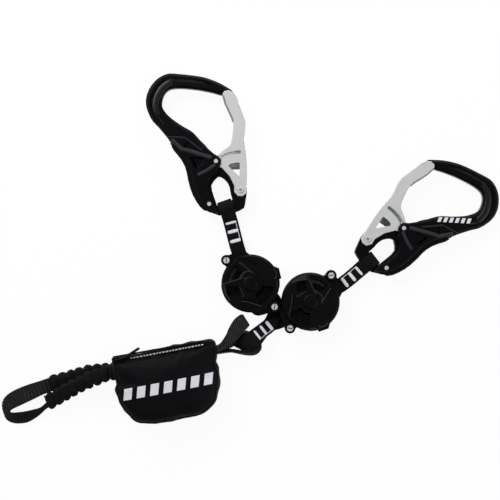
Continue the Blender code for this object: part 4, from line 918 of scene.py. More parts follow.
class LANYARD_OT_main_strap(bpy.types.Operator):
    """Main webbing looped round the absorber tail, and the two legs that lead to the reels"""
    bl_idname = "lanyard.main_strap"
    bl_label = "Main strap"

    def execute(self, context):
        sizes, colours = context.scene.lanyard_sizes, context.scene.lanyard_colours
        skin = load_webbing(sizes, colours)
        ply, step = sizes.ply, sizes.webbing_rib / 4
        trunk = trunk_route()
        right = leg_route("right")
        ahead = polar(1.0, STRAP_HEADING)
        beyond = [point for point in right if (point - trunk[-1]).dot(ahead) > 0.001]
        route = evenly(trunk + beyond, 0.0015)
        line = eye_line(TAIL_BORE, ply, TAIL_NECK, route_length(route), 0.0, step)
        stations = [self.stretched(station, place.x, ply) for station, place in zip(
            stations_flat(route, line, sizes.webbing_width, WEB_LEVEL), line)]
        strap = lay_strap("main_webbing", stations, ply, sizes.webbing_rib)
        finish_piece(strap, skin, replaced=("main_strap", "leg_right"))
        end, _ = walked(route, route_length(route) - 0.003)
        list(end)
        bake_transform(strap)
        left = leg_route("left")
        total = route_length(left)
        count = round(total / step)
        for name, height in (("left_leg_upper", ply), ("left_leg_lower", -ply)):
            line = []
            for k in range(count + 1):
                share = k / count
                settle = max(0.0, min(1.0, (share - 0.35) / 0.4))
                settle = settle * settle * (3 - 2 * settle)
                line.append((total * share, height * (1.5 - settle)))
            stations = stations_flat(left, line, sizes.webbing_width - 0.0003, WEB_LEVEL)
            leg = lay_strap(name, stations, ply, sizes.webbing_rib)
            finish_piece(leg, skin, replaced=("leg_left",) if height > 0 else ())
            start, _ = walked(left, total * 0.25)
            end, _ = walked(left, total - 0.003)
            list(start)
            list(end)
            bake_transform(leg)
        return {"FINISHED"}

    def stretched(self, station, distance, ply):
        """The eye is drawn out and pulled askew behind the tail that it hangs on."""
        centre, across, normal, width = station
        share = max(0.0, -distance / (TAIL_BORE + ply / 2))
        back = Vector((*polar(1.0, STRAP_HEADING + 180.0), 0.0))
        wider = EYE_WIDER * max(0.0, min(1.0, 1.0 - distance / TAIL_NECK))
        centre = centre + back * EYE_STRETCH * share - across * wider / 2
        return centre, across + back * EYE_SKEW * share, normal, width + wider


class LANYARD_OT_bar_tacks(bpy.types.Operator):
    """White bar tacks across the arms and the main strap"""
    bl_idname = "lanyard.bar_tacks"
    bl_label = "Bar tacks"

    def execute(self, context):
        sizes, colours = context.scene.lanyard_sizes, context.scene.lanyard_colours
        skin = thread_skin(colours.thread)
        routes = {"arm_" + side: arm_route(side) for side in SIDES}
        routes["main_strap"] = trunk_route()
        for body, (distances, edge) in TACK_PLACES.items():
            route = routes[body]
            bore, neck = (TAIL_BORE, TAIL_NECK) if body == "main_strap" else (BAR_BORE, BAR_NECK)
            ends = []
            for number, distance in enumerate(distances):
                height = WEB_LEVEL + sizes.ply + self.rise(distance, bore, neck, sizes.ply)
                if body == "main_strap":
                    height += sizes.ply * (distance > LEG_COVER)
                centre, along = walked(route, distance)
                across = Vector((-along.y, along.x, 0.0)) * sizes.tack_length / 2
                middle = Vector((centre.x, centre.y, height))
                bar = satin_bar(f"tack_{body}_{number}", middle - across, middle + across, sizes.tack_width,
                                TACK_HEIGHT, sizes.stitch)
                finish_piece(bar, skin, body=body)
                ends.append(middle + across * 0.9 * edge)
            points = [ends[0].lerp(ends[1], k / 8) for k in range(8)]
            points += [ends[1].lerp(ends[2], k / 8) for k in range(9)]
            line = rod(f"tack_{body}_line", points, TACK_LINE_RADIUS, 8)
            finish_piece(line, skin, body=body)
        return {"FINISHED"}

    def rise(self, distance, bore, neck, ply):
        """How far the upper ply has climbed towards the eye at a distance from the bar."""
        reach = bore + ply / 2
        angle = math.acos(reach / neck)
        share = (neck - distance) / (neck - reach * math.cos(angle))
        return max(0.0, share) * (reach * math.sin(angle) - ply / 2)


class LANYARD_OT_tail(bpy.types.Operator):
    """Absorber webbing that leaves the pouch on edge, and the ribbed rest loop over it"""
    bl_idname = "lanyard.tail"
    bl_label = "Tail and rest loop"

    def execute(self, context):
        sizes, colours = context.scene.lanyard_sizes, context.scene.lanyard_colours
        skin = load_webbing(sizes, colours)
        route = evenly(smoothed([on_pouch(x * MM, y * MM, WEB_LEVEL) for x, y in TAIL_ROUTE], 8),
                       sizes.webbing_rib / 4)
        stations = []
        up = Vector((0.0, 0.0, 1.0))
        for index, point in enumerate(route):
            before, after = route[max(index - 1, 0)], route[min(index + 1, len(route) - 1)]
            side = (after - before).normalized().cross(up)
            share = index / len(route)
            steepest, spread = TAIL_TILT_SHARES
            tilt = math.radians(TAIL_LEAN + TAIL_TILT * math.exp(-((share - steepest) / spread) ** 2))
            edge = up * math.cos(tilt) - side * math.sin(tilt)
            stations.append((point, edge, side * math.cos(tilt) + up * math.sin(tilt), TAIL_WIDTH))
        tail = lay_strap("tail_webbing", stations, TAIL_THICKNESS, sizes.webbing_rib, TAIL_RIB_DEPTH)
        finish_piece(tail, skin, replaced=("absorber_tail",))
        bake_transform(tail)
        # The rib crowns take the rest loop's lighter colour as a painted highlight
        ribbed = webbing_skin("fine_ribbed_grosgrain", sizes.rest_rib, colours.webbing, colours.rest_rib,
                              coarse=True)
        rims = [smoothed([on_pouch(x * MM, y * MM, REST_LEVEL) for x, y in rim], 8) for rim in REST_RIMS]
        stations = stations_between(rims[0], rims[1], sizes.rest_rib / 5)
        for number, offset in enumerate(REST_PLY_OFFSETS):
            moved = [(centre + normal * offset, across, normal, width)
                     for centre, across, normal, width in stations]
            ply = lay_strap(f"rest_loop_ply_{number}", moved, REST_PLY, sizes.rest_rib, REST_RIB_DEPTH)
            finish_piece(ply, ribbed, body="rest_loop",
                         replaced=("rest_loop",) if number == 0 else ())
        return {"FINISHED"}


class LANYARD_OT_tie_in(bpy.types.Operator):
    """Open tie-in band and the two gathered elastic sleeves"""
    bl_idname = "lanyard.tie_in"
    bl_label = "Tie-in loop"

    def execute(self, context):
        sizes, colours = context.scene.lanyard_sizes, context.scene.lanyard_colours
        # The rib crowns take a lighter colour as a painted highlight
        ribbed = webbing_skin("ribbed_grosgrain", sizes.tape_rib, colours.webbing, colours.tie_rib_highlight,
                              coarse=True)
        shift = Vector((-TIE_OFFSET, 0.0, 0.0))
        rims = [smoothed([Vector(point) * MM + shift for point in rim], 8) for rim in (TIE_OUTER, TIE_INNER)]
        stations = stations_between(rims[0], rims[1], sizes.tape_rib / 5)
        band = lay_strap("tie_in_band", stations, sizes.ply, sizes.tape_rib, TIE_RIB_DEPTH)
        finish_piece(band, ribbed, body="tie_in_loop", replaced=("tie_in_loop",))
        knit = webbing_skin("gathered_sleeve", SLEEVE_KNIT, colours.webbing, colours.webbing_high)
        for seed, (name, points) in enumerate(GATHER_ROUTES.items()):
            route = smoothed([Vector(point) * MM + shift for point in points], 8)
            sleeve = self.gather(name + "_sleeve", route, sizes.gather_pleat, seed)
            finish_piece(sleeve, knit, smooth=70.0, body="pouch", replaced=(name,))
        return {"FINISHED"}

    def gather(self, name, route, pleat, seed):
        """A webbing sleeve puckered by the elastic inside: deep pleats with rolled, uneven crowns."""
        total = route_length(route)
        pleats = round(total / pleat)
        rows, columns = pleats * 14, 36

        def spot(row, column):
            distance = total * row / rows
            centre, along = walked(route, distance)
            across = along.cross(Vector((0.0, 0.0, 1.0))).normalized()
            lift = across.cross(along).normalized()
            angle = math.tau * column / columns
            lean = 0.16 * math.sin(angle + seed) + 0.10 * noise.noise(Vector((distance * 240, seed, angle)))
            turns = row / rows * pleats + lean
            bead = math.sqrt(max(0.0, 1.0 - (2 * (turns - math.floor(turns)) - 1.0) ** 2))
            plump = 1.0 + 0.14 * noise.noise(Vector((math.floor(turns) * 3.7, seed * 5.1, math.cos(angle))))
            crown = plump - PLEAT_DEPTH * (1.0 - bead)
            around = Vector((math.cos(angle) * 3, math.sin(angle) * 3, distance * 900 + seed * 9))
            crease = 0.07 * noise.noise(around)
            size = crown + crease
            flat = math.copysign(abs(math.sin(angle)) ** 0.8, math.sin(angle))
            sideways = across * SLEEVE_HALF_WIDTH * size * math.cos(angle)
            return centre + sideways + lift * SLEEVE_HALF_HEIGHT * size * flat

        return sweep(name, rows, columns, spot, (0.032, total))


class LANYARD_OT_pouch(bpy.types.Operator):
    """Padded pouch of the energy absorber, with its seams, and the folded webbing inside it"""
    bl_idname = "lanyard.pouch"
    bl_label = "Pouch"

    def execute(self, context):
        sizes, colours = context.scene.lanyard_sizes, context.scene.lanyard_colours
        skin = cloth_skin(colours)
        pouch = self.shell()
        self.pad(pouch)
        self.crease(pouch)
        finish_piece(pouch, skin, smooth=70.0, body="pouch", replaced=("pouch_shell",))
        self.welt(pouch, skin)
        middle = turned(*PRINT_PLACE, POUCH_TURN)
        printed_bars("pouch_print", surface_below([pouch]), middle, polar(1.0, POUCH_TURN + PRINT_TURN),
                     PRINT_BARS, PRINT_BAR_SIZE, PRINT_GAP, PRINT_SLANT, thread_skin(colours.thread), "pouch")
        self.folded_webbing(sizes, colours)
        return {"FINISHED"}

    def shell(self):
        """Lofted closed form on the outline, stepped down along the zip."""
        outline = smoothed([Vector((x * MM, y * MM)) for x, y in POUCH_OUTLINE + POUCH_OUTLINE[:1]], 4)[:-1]
        columns, rows = len(outline), len(POUCH_LAYERS) - 1

        def spot(row, column):
            share, level = POUCH_LAYERS[row]
            x, y = outline[column] * share
            if level > ZIP_LEDGE + 0.0002:
                y = min(y, ZIP_EDGE)
            return on_pouch(x, y, level)

        return sweep("pouch", rows, columns, spot, (0.25, 0.05))

    def pad(self, pouch):
        """Cloth blown up over the padding, held close to its cut shape."""
        pick([pouch])
        remesh = pouch.modifiers.new("even", "REMESH")
        remesh.mode = "VOXEL"
        remesh.voxel_size = PADDING_VOXEL
        bpy.ops.object.modifier_apply(modifier=remesh.name)
        rest = [vertex.co.copy() for vertex in pouch.data.vertices]
        cloth = pouch.modifiers.new("padding", "CLOTH")
        cloth.settings.quality = 5
        cloth.settings.mass = PADDING_MASS
        cloth.settings.use_pressure = True
        cloth.settings.uniform_pressure_force = PADDING_PRESSURE
        cloth.settings.effector_weights.gravity = 0.0
        cloth.point_cache.frame_start = 1
        cloth.point_cache.frame_end = PADDING_FRAMES
        for number in range(1, PADDING_FRAMES + 1):
            bpy.context.scene.frame_set(number)
        bpy.ops.object.modifier_apply(modifier=cloth.name)
        bpy.context.scene.frame_set(1)
        for vertex, start in zip(pouch.data.vertices, rest):
            move = vertex.co - start
            if move.length > PADDING_SWELL:
                vertex.co = start + move.normalized() * PADDING_SWELL

    def crease(self, pouch):
        """Folds that run in from the seams, a flat back, and a clear ledge for the zip."""
        normals = [vertex.normal.copy() for vertex in pouch.data.vertices]
        for vertex, normal in zip(pouch.data.vertices, normals):
            own = turned(vertex.co.x, vertex.co.y, -POUCH_TURN)
            rim = max(abs(own.x - PANEL_MIDDLE) / PANEL_HALF_SIZE[0], abs(own.y) / PANEL_HALF_SIZE[1])
            near = max(0.0, min(1.0, (rim - 0.35) / 0.65))
            angle = math.atan2(own.y, own.x)
            folds = noise.noise(Vector((math.cos(angle) * 6.5, math.sin(angle) * 6.5, own.length * 16)))
            waves = noise.noise(Vector((own.x * 55, own.y * 90, 4.2)))
            sunk = FOLD_DEPTH * folds * near + WAVE_DEPTH * waves
            if normal.z > -0.5:
                vertex.co += normal * sunk
            ledge = own.y > ZIP_EDGE + 0.0002 and vertex.co.z > ZIP_LEDGE - 0.0022
            if ledge:
                vertex.co.z = min(vertex.co.z, ZIP_LEDGE - 0.0002)
            vertex.co.z = min(max(vertex.co.z, 0.0002), 0.0300)
        pick([pouch])
        finer = pouch.modifiers.new("finer", "SUBSURF")
        finer.levels = finer.render_levels = 1
        bpy.ops.object.modifier_apply(modifier=finer.name)

    def welt(self, pouch, skin):
        """A corded welt round the front panel."""
        tree = surface_below([pouch])
        outline = smoothed([Vector((x * MM, y * MM)) for x, y in POUCH_OUTLINE + POUCH_OUTLINE[:1]], 6)[:-1]
        points = []
        for x, y in outline:
            spot = on_pouch(x * WELT_INSET, min(y * WELT_INSET, ZIP_EDGE - 0.0004), ABOVE_ALL)
            points.append(landed(tree, spot) + Vector((0.0, 0.0, WELT_RADIUS * 0.3)))
        count = len(points)
        for _ in range(2):
            points = [(points[k - 1] + points[k] * 2 + points[(k + 1) % count]) / 4 for k in range(count)]
        finish_piece(self.ring("pouch_welt", points, WELT_RADIUS), skin, body="pouch")

    def ring(self, name, points, radius):
        count = len(points)

        def spot(row, column):
            here = points[row % count]
            along = (points[(row + 1) % count] - points[row % count - 1]).normalized()
            side = along.cross(Vector((0.0, 0.0, 1.0))).normalized()
            lift = side.cross(along)
            angle = math.tau * column / 8
            return here + side * radius * math.cos(angle) + lift * radius * math.sin(angle)

        return sweep(name, count, 8, spot, (0.004, 0.25))

    def folded_webbing(self, sizes, colours):
        """The tear webbing, laid to and fro in the pouch."""
        skin = load_webbing(sizes, colours)
        line = []
        for layer in range(TEAR_LAYERS):
            level = TEAR_LOW + layer * TEAR_PITCH
            ends = TEAR_ENDS if layer % 2 == 0 else TEAR_ENDS[::-1]
            line += [Vector((ends[0], level)), Vector((ends[1], level))]
            if layer < TEAR_LAYERS - 1:
                out = 1 if ends[1] > 0 else -1
                for k in (1, 2, 3):
                    angle = math.pi * k / 4
                    line.append(Vector((ends[1] + out * TEAR_PITCH / 2 * math.sin(angle),
                                        level + TEAR_PITCH / 2 * (1 - math.cos(angle)))))
        line = evenly(line, 0.0006)
        heading = turned(1.0, 0.0, POUCH_TURN)
        origin = turned(0.0, TEAR_SHIFT, POUCH_TURN)
        route = [origin, origin + heading * 0.03]
        stations = stations_flat(route, line, TEAR_WIDTH, 0.0)
        pack = lay_strap("folded_tear_webbing", stations, sizes.ply, TEAR_RIB)
        finish_piece(pack, skin, body="pouch", replaced=("absorber_pack",))


class LANYARD_OT_zip(bpy.types.Operator):
    """Zip tape with its coil, the slider and the cord pull"""
    bl_idname = "lanyard.zip"
    bl_label = "Zip"

    def execute(self, context):
        sizes, colours = context.scene.lanyard_sizes, context.scene.lanyard_colours
        pale = zip_skin(colours.zip_tape)
        black = plastic_skin("moulded_zip", colours.moulded, 0.45)
        route = [on_pouch(x, ZIP_LINE, ZIP_LEDGE + ZIP_RAISED) for x in ZIP_ENDS]
        up = Vector((0.0, 0.0, 1.0))
        along = (route[1] - route[0]).normalized()
        across = up.cross(along)
        for name, shift, width in ZIP_TAPES:
            stations = [(point + across * shift, across, up, width) for point in evenly(route, 0.0015)]
            tape = lay_strap(name, stations, ZIP_TAPE_THICKNESS, ZIP_TAPE_RIB, ZIP_TAPE_RIB_DEPTH)
            finish_piece(tape, black, body="pouch", replaced=("zip_chain",) if shift < 0 else ())
        self.marks(route, across, pale)
        self.teeth(route, across, sizes.zip_tooth, black)
        self.slider(black)
        self.pull(black)
        return {"FINISHED"}

    def marks(self, route, across, skin):
        """Pale reflective dashes along the near tape, joined into one piece."""
        total = (route[1] - route[0]).length
        dashes = []
        place, number = FIRST_DASH, 0
        while place < total - 0.0020:
            length = 0.0014 + 0.0010 * ((number * 5) % 4) / 3
            centre = walked(route, place + length / 2)[0] + across * (-0.0014 + 0.0010 * place / total)
            along = (route[1] - route[0]).normalized()
            raised = Vector((0.0, 0.0, DASH_RAISED))
            points = [centre + along * length * (k / 4 - 0.5) + raised for k in range(5)]
            dashes.append(rod(f"dash_{number}", points, DASH_RADIUS, 8, 0.25))
            place += length + DASH_GAP
            number += 1
        finish_piece(joined(dashes, "dash_0"), skin, body="pouch")

    def teeth(self, route, across, pitch, skin):
        """One coil tooth is shaped, then copied along the chain and joined."""
        deselect()
        bpy.ops.mesh.primitive_cube_add(size=1.0)
        first = bpy.context.object
        bpy.ops.object.mode_set(mode="EDIT")
        bpy.ops.transform.resize(value=(pitch * 0.62, TOOTH_WIDTH, TOOTH_HEIGHT))
        bpy.ops.mesh.bevel(offset=0.00025, segments=2)
        bpy.ops.object.mode_set(mode="OBJECT")
        first.data.transform(Matrix.Rotation(math.radians(POUCH_TURN + TOOTH_LEAN), 4, "Z"))
        count = int((route[1] - route[0]).length / pitch)
        copies = []
        for k in range(count):
            point = route[0].lerp(route[1], (k + 0.5) / count) + across * TOOTH_SHIFT
            point += Vector((0.0, 0.0, TOOTH_RAISED))
            tooth = bpy.data.objects.new(f"tooth_{k}", first.data.copy())
            bpy.context.collection.objects.link(tooth)
            tooth.data.transform(Matrix.Translation(point))
            copies.append(tooth)
        bpy.data.objects.remove(first)
        finish_piece(joined(copies, "zip_coil"), skin, body="pouch")

    def slider(self, skin):
        """Slider body with pinched waist, and the bridge that holds the pull."""
        low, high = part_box("zip_slider")
        middle = (low + high) / 2
        deselect()
        bpy.ops.mesh.primitive_cube_add(size=1.0)
        body = bpy.context.object
        body.name = "slider_body"
        bpy.ops.object.mode_set(mode="EDIT")
        bpy.ops.mesh.subdivide(number_cuts=5)
        bpy.ops.object.mode_set(mode="OBJECT")
        for vertex in body.data.vertices:
            x, y, z = vertex.co
            waist = SLIDER_WAIST + 0.44 * (x + 0.5) ** 1.5 if x > -0.5 else SLIDER_WAIST
            length, width, height = SLIDER_SIZE
            vertex.co = Vector((x * length, y * width * min(1.0, waist), z * height))
        bevel = body.modifiers.new("edge", "BEVEL")
        bevel.width = 0.0003
        bevel.segments = 2
        bpy.ops.object.modifier_apply(modifier=bevel.name)
        body.data.transform(Matrix.Translation(middle) @ Matrix.Rotation(math.radians(POUCH_TURN), 4, "Z"))
        finish_piece(body, skin, body="zip_slider", replaced=("zip_slider",))
        arch = [middle + Vector((*turned(x, 0.0, POUCH_TURN), z)) for x, z in BRIDGE_ARCH]
        bridge = rod("slider_bridge", smoothed(arch, 4), BRIDGE_RADIUS, 8)
        finish_piece(bridge, skin, body="zip_slider")

    def pull(self, skin):
        """Cord pull with a tied end."""
        low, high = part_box("zip_pull")
        level = (low.z + high.z) / 2
        points = smoothed([on_pouch(x * MM, y * MM, level) for x, y in PULL_ROUTE], 12)

        def thickness(share):
            end = min(1.0, 0.4 + min(share, 1.0 - share) * 12)
            return PULL_RADIUS * end

        cord = rod("zip_cord", points, thickness, 12, 0.7)
        finish_piece(cord, skin, body="zip_pull", replaced=("zip_pull",))


class LANYARD_OT_reels(bpy.types.Operator):
    """Raised ribs on the reel covers, coloured lighter grey as a painted highlight along their ridges, and
    the webbing wound inside
    """
    bl_idname = "lanyard.reels"
    bl_label = "Reels"

    def execute(self, context):
        sizes, colours = context.scene.lanyard_sizes, context.scene.lanyard_colours
        moulded = plastic_skin("moulded_polyamide", colours.moulded, 0.40)
        ridge_highlight = plastic_skin("painted_highlight_polyamide_ridge", colours.ridge_highlight, 0.45)
        skin = load_webbing(sizes, colours)
        for side in SIDES:
            for name, points, radius in REEL_RIBS:
                route = smoothed([on_reel(side, x, y, REEL_TOP + RIB_RAISED) for x, y in points], 8)
                rib = rod(f"{name}_{side}", route, radius * MM, 10, 0.8)
                finish_piece(rib, ridge_highlight, body="reel_" + side)
            for k in range(GRILLE_BARS):
                ends = [polar(radius, GRILLE_FIRST + GRILLE_TURN * k) for radius in GRILLE_RADII]
                route = [on_reel(side, end.x, end.y, REEL_TOP + RIB_RAISED) for end in ends]
                bar = rod(f"grille_{k}_{side}", route, GRILLE_RADIUS, 8, 0.8)
                finish_piece(bar, ridge_highlight, body="reel_" + side)
            self.hub_cap(side, moulded)
            self.screw_slots(side, colours)
            self.screw_collars(side, moulded)
            self.rim_facets(side, colours)
            self.wound_webbing(side, skin, sizes)
        return {"FINISHED"}

    def screw_slots(self, side, colours):
        """Dark driver slots in the bright screw heads."""
        dark = plastic_skin("slot_shadow", colours.driver_slot, 0.7)
        for name, angle in SLOT_ANGLES.items():
            middle = top_middle(name + side)
            along = Vector((*polar(SLOT_HALF_LENGTH, angle + REEL_TURN[side]), 0.0))
            points = [middle - along, middle - along * 0.5, middle + along * 0.5, middle + along]
            slot = rod(name + side + "_slot", points, SLOT_RADIUS, 8, 0.3)
            finish_piece(slot, dark, body="reel_" + side)

    def screw_collars(self, side, skin):
        """Thick black collars that the screw heads sit in."""
        for name in SLOT_ANGLES:
            collar = turned_ring(name + side + "_collar", top_middle(name + side), COLLAR_PROFILE, 40)
            finish_piece(collar, skin, smooth=30.0, body="reel_" + side)

    def rim_facets(self, side, colours):
        """Smooth sloping facets moulded on the rim, glossier than the cover and coloured lighter as a painted
        highlight where they catch the light.
        """
        shiny = plastic_skin("glossy_polyamide_painted_highlight", colours.facet_highlight, 0.34)
        rows, columns = 16, 5
        for name, first, last, inside in (("west", 183.0, 219.0, FACET_INSIDE[side]),
                                          ("east", 352.0, 366.0, FACET_INSIDE_EAST)):

            def spot(row, column):
                share = row / rows
                near = inside + max(0.0, FACET_FAR_END - inside) * share
                corners = ((near, 0.30), (22.9, 0.35), (25.1, -2.2), (24.6, -2.6), (near, -0.1))
                radius, height = corners[column]
                place = polar(radius, first + (last - first) * share)
                return on_reel(side, place.x, place.y, REEL_TOP + height * MM)

            facet = sweep(f"rim_{name}_{side}", rows, columns, spot, (0.006, 0.02))
            finish_piece(facet, shiny, smooth=30.0, body="reel_" + side)

    def hub_cap(self, side, skin):
        """Low domed cap over the axle, with a stepped ring round it."""
        sides = 48

        def spot(row, column):
            radius, height = HUB_PROFILE[row]
            place = polar(radius, 360.0 * column / sides)
            return on_reel(side, place.x, place.y, REEL_TOP + height * MM)

        cap = sweep("hub_cap_" + side, len(HUB_PROFILE) - 1, sides, spot, (0.04, 0.01))
        finish_piece(cap, skin, smooth=40.0, body="reel_" + side)

    def wound_webbing(self, side, skin, sizes):
        """Five turns of webbing on the spool, on edge."""
        low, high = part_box("wound_tape_" + side)
        middle = (low.z + high.z) / 2
        centre = reel_centre(side)
        count = WOUND_STATIONS
        up = Vector((0.0, 0.0, 1.0))
        stations = []
        for k in range(count + 1):
            angle = math.tau * WOUND_TURNS * k / count + math.radians(REEL_TURN[side])
            radius = WOUND_START + WOUND_PITCH * WOUND_TURNS * k / count
            outward = Vector((math.cos(angle), math.sin(angle), 0.0))
            spot = Vector((centre.x, centre.y, middle)) + outward * radius
            stations.append((spot, up, outward, sizes.webbing_width))
        tape = lay_strap("wound_webbing_" + side, stations, WOUND_THICKNESS, WOUND_RIB,
                         WOUND_RIB_DEPTH)
        finish_piece(tape, skin, body="spool_" + side, replaced=("wound_tape_" + side,))


def on_carabiner(side, x, y):
    """Point of a carabiner's own frame, in millimetres from its bar, in the row frame seen from above."""
    return Vector(BAR_PLACE[side]) + turned(x * MM * CARABINER_FACE[side], y * MM, CARABINER_TURN[side])


def printed_bars(name, tree, centre, along, count, size, gap, slant, skin, body, level_top=False):
    """A row of plain slanted bars printed on a surface, each a thin skin that follows it."""
    across = Vector((-along.y, along.x))
    pitch = size[0] + gap
    bars = []
    for number in range(count):
        middle = centre + along * pitch * (number - (count - 1) / 2)
        rows, columns = 10, 8
        grid = []
        for up in range(rows + 1):
            v = (up / rows - 0.5) * size[1]
            places = [middle + along * ((k / columns - 0.5) * size[0] + v * slant) + across * v
                      for k in range(columns + 1)]
            grid.append([landed(tree, place) for place in places])
        top = max(hit.z for line in grid for hit in line) if level_top else None

        def spot(row, column):
            hit = grid[row][min(column, columns * 2 + 1 - column)]
            if column > columns:
                return Vector((hit.x, hit.y, hit.z - 0.0002))
            return Vector((hit.x, hit.y, (top + 0.0001) if level_top else hit.z + 0.0003))

        bars.append(sweep(f"{name}_{number}", rows, columns * 2 + 2, spot, size))
    finish_piece(joined(bars, name), skin, smooth=30.0, body=body)


def plate(name, outline, low, high, skin, body):
    """A flat plate between two levels, from its outline seen from above."""
    rows, columns = 1, len(outline)

    def spot(row, column):
        x, y = outline[column]
        return Vector((x, y, low if row == 0 else high))

    piece = sweep(name, rows, columns, spot, (0.1, high - low))
    finish_piece(piece, skin, smooth=20.0, body=body)


class LANYARD_OT_carabiners(bpy.types.Operator):
    """Webs of painted shade behind the openings of the carabiner cheeks and gates, raised struts coloured as
    painted highlights, and a printed row of bars
    """
    bl_idname = "lanyard.carabiners"
    bl_label = "Carabiner details"

    def execute(self, context):
        colours = context.scene.lanyard_colours
        # Painted shade: darker aluminium inside the gate's channel, near black in the cheek openings and
        # round the rivets; painted highlight on the struts
        shade = metal_skin("shaded_aluminium", colours.shaded, 0.5, 0.0, 0.0005, 0.0004)
        strut_skin = plastic_skin("strut_painted_highlight", colours.strut, 0.42)
        deep = plastic_skin("shadowed_polyamide", colours.deep, 0.6)
        for side in SIDES:
            low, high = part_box("carabiner_frame_" + side)
            for name, outline in CHEEK_WEBS.items():
                plate(f"{name}_web_{side}", [on_carabiner(side, x, y) for x, y in outline], low.z + 0.0006,
                      low.z + 0.0014, deep, "carabiner_" + side)
            gate_low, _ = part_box("gate_" + side)
            plate(f"gate_web_{side}", [on_carabiner(side, x, y) for x, y in GATE_WEB], gate_low.z + 0.0003,
                  gate_low.z + 0.0010, shade, "gate_" + side)
            for name, (points, radius) in STRUTS.items():
                route = []
                for x, y in points:
                    place = on_carabiner(side, x, y)
                    route.append(Vector((place.x, place.y, high.z)))
                strut = rod(f"{name}_{side}", evenly(route, 0.0015), radius * MM, 10, 0.4)
                finish_piece(strut, strut_skin, body="carabiner_" + side)
            self.hook_sheen_band(side, colours)
            self.gate_edges(side, colours)
            self.rivet_rings(side, deep)
        tree = surface_below([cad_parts["carabiner_frame_right"]])
        ink = thread_skin(colours.thread)
        printed_bars("carabiner_print", tree, Vector((0.2490, 0.1401)), polar(1.0, -3.1), 6,
                     (0.0029, 0.0042), 0.0021, 0.35, ink, "carabiner_right", level_top=True)
        return {"FINISHED"}

    def hook_sheen_band(self, side, colours):
        """Slightly raised band that runs round the hook between its two grooves, coloured lighter than the
        frame as a painted sheen.
        """
        skin = metal_skin("painted_sheen_anodised_aluminium", colours.hook_sheen_band, 0.40, 1.0, 0.0004, 0.0003)
        tree = surface_below([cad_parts["carabiner_frame_" + side]])
        basket = Vector(BASKET_MIDDLE)
        first_heading, turn, turns, scan = 66.0, 2.0, 51, 0.4
        band_share, radius, fewest = 0.57, 0.0027, 6
        points = []
        for number in range(turns):
            heading = polar(scan, first_heading + turn * number)
            found = []
            for reach in range(20, 120):
                hit = landed(tree, on_carabiner(side, *(basket + heading * reach)))
                if hit:
                    found.append(hit)
                elif found:
                    break
            if len(found) > fewest:
                points.append(found[int(len(found) * band_share)])

        def tapered(share):
            return radius * min(1.0, 0.15 + min(share, 1 - share) * 7)

        band = rod("hook_sheen_band_" + side, evenly(relaxed(points, 3), 0.0012), tapered, 12, 0.18)
        finish_piece(band, skin, body="carabiner_" + side)

    def gate_edges(self, side, colours):
        """A lip along the outer edge of the channel gate, coloured as a painted bluish highlight, and a facet
        along the inner one, coloured darker as painted shade, on its top face.
        """
        tree = surface_below([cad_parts["gate_" + side]])
        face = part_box("gate_" + side)[1].z - 0.0012
        left_edge, lowest, scan, facet_from, fewest = -2.0, 12.0, 0.3, 54, 8
        inner, outer = [], []
        for up in range(80):
            hits = [landed(tree, on_carabiner(side, left_edge + scan * k, lowest + up)) for k in range(160)]
            row = [hit for hit in hits if hit and hit.z > face]
            if len(row) > fewest:
                outer.append(row[-1])
                if up > facet_from:
                    inner.append(row[0])
        for name, points, radius, colour in (
                ("lip", outer, 0.0007, colours.gate_lip_highlight), ("facet", inner, 0.0009, colours.gate_facet_shade)):
            skin = metal_skin(f"gate_{name}_aluminium", colour, 0.4, 0.3, 0.0005, 0.0003, 6.0)
            strip = rod(f"gate_{name}_{side}", evenly(relaxed(points, 3), 0.001), radius, 10, 0.6)
            finish_piece(strip, skin, body="gate_" + side)

    def rivet_rings(self, side, skin):
        """Dark rings of painted shade round the frame's rivet heads, over their outer rims, and a dimple of
        painted shade in the gate rivet.
        """
        for name, profile in (("nose_rivet_", RECESS_PROFILE), ("lever_rivet_", RECESS_PROFILE),
                              ("gate_rivet_", DIMPLE_PROFILE)):
            ring = turned_ring(name + side + "_ring", top_middle(name + side), profile, 36)
            finish_piece(ring, skin, smooth=30.0, body="carabiner_" + side)


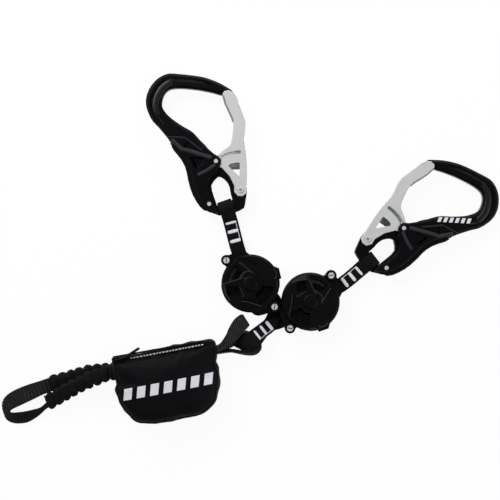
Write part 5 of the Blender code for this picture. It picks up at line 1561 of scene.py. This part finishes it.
class LANYARD_OT_finishes(bpy.types.Operator):
    """Moulded and metal finishes of the rigid pieces that are kept from the frame"""
    bl_idname = "lanyard.finishes"
    bl_label = "Finishes"

    def execute(self, context):
        colours = context.scene.lanyard_colours
        moulded = plastic_skin("moulded_polyamide", colours.moulded, 0.40)
        lever = plastic_skin("lever_overmould", colours.moulded, 0.50)
        anodised = metal_skin("hard_anodised_aluminium", colours.anodised, 0.38, 1.0, 0.0004, 0.0007)
        silver = metal_skin("satin_anodised_aluminium", colours.silver, 0.42, 0.35, 0.0005, 0.0003, 6.0)
        zinc = metal_skin("zinc_plated_steel", colours.zinc, 0.32, 0.45, 0.0003, 0.0003)
        for side in SIDES:
            repaint([name + side for name in MOULDED_PIECES], moulded)
            repaint(["palm_lever_" + side], lever)
            repaint(["carabiner_frame_" + side], anodised)
            repaint(["gate_" + side], silver)
            repaint([name + side for name in PLATED_PIECES], zinc)
        return {"FINISHED"}


OPERATORS = (
    LANYARD_OT_stage, LANYARD_OT_arms, LANYARD_OT_main_strap, LANYARD_OT_bar_tacks, LANYARD_OT_tail,
    LANYARD_OT_tie_in, LANYARD_OT_pouch, LANYARD_OT_zip, LANYARD_OT_reels, LANYARD_OT_carabiners,
    LANYARD_OT_finishes)


class LANYARD_PT_looks(bpy.types.Panel):
    """Sizes, colours and steps of the lanyard's looks"""
    bl_idname = "LANYARD_PT_looks"
    bl_label = "Lanyard"
    bl_space_type = "VIEW_3D"
    bl_region_type = "UI"
    bl_category = "Lanyard"

    def draw(self, context):
        layout = self.layout
        for group in (context.scene.lanyard_sizes, context.scene.lanyard_colours):
            box = layout.box()
            for name in group.__annotations__:
                box.prop(group, name)
        for operator in OPERATORS:
            layout.operator(operator.bl_idname)


CLASSES = (LanyardSizes, LanyardColours) + OPERATORS + (LANYARD_PT_looks,)


def register():
    for item in CLASSES:
        bpy.utils.register_class(item)
    bpy.types.Scene.lanyard_sizes = bpy.props.PointerProperty(type=LanyardSizes)
    bpy.types.Scene.lanyard_colours = bpy.props.PointerProperty(type=LanyardColours)


def unregister():
    del bpy.types.Scene.lanyard_colours
    del bpy.types.Scene.lanyard_sizes
    for item in reversed(CLASSES):
        bpy.utils.unregister_class(item)


def main():
    register()
    for operator in OPERATORS:
        group, name = operator.bl_idname.split(".")
        getattr(getattr(bpy.ops, group), name)()


if __name__ == "__main__":
    main()
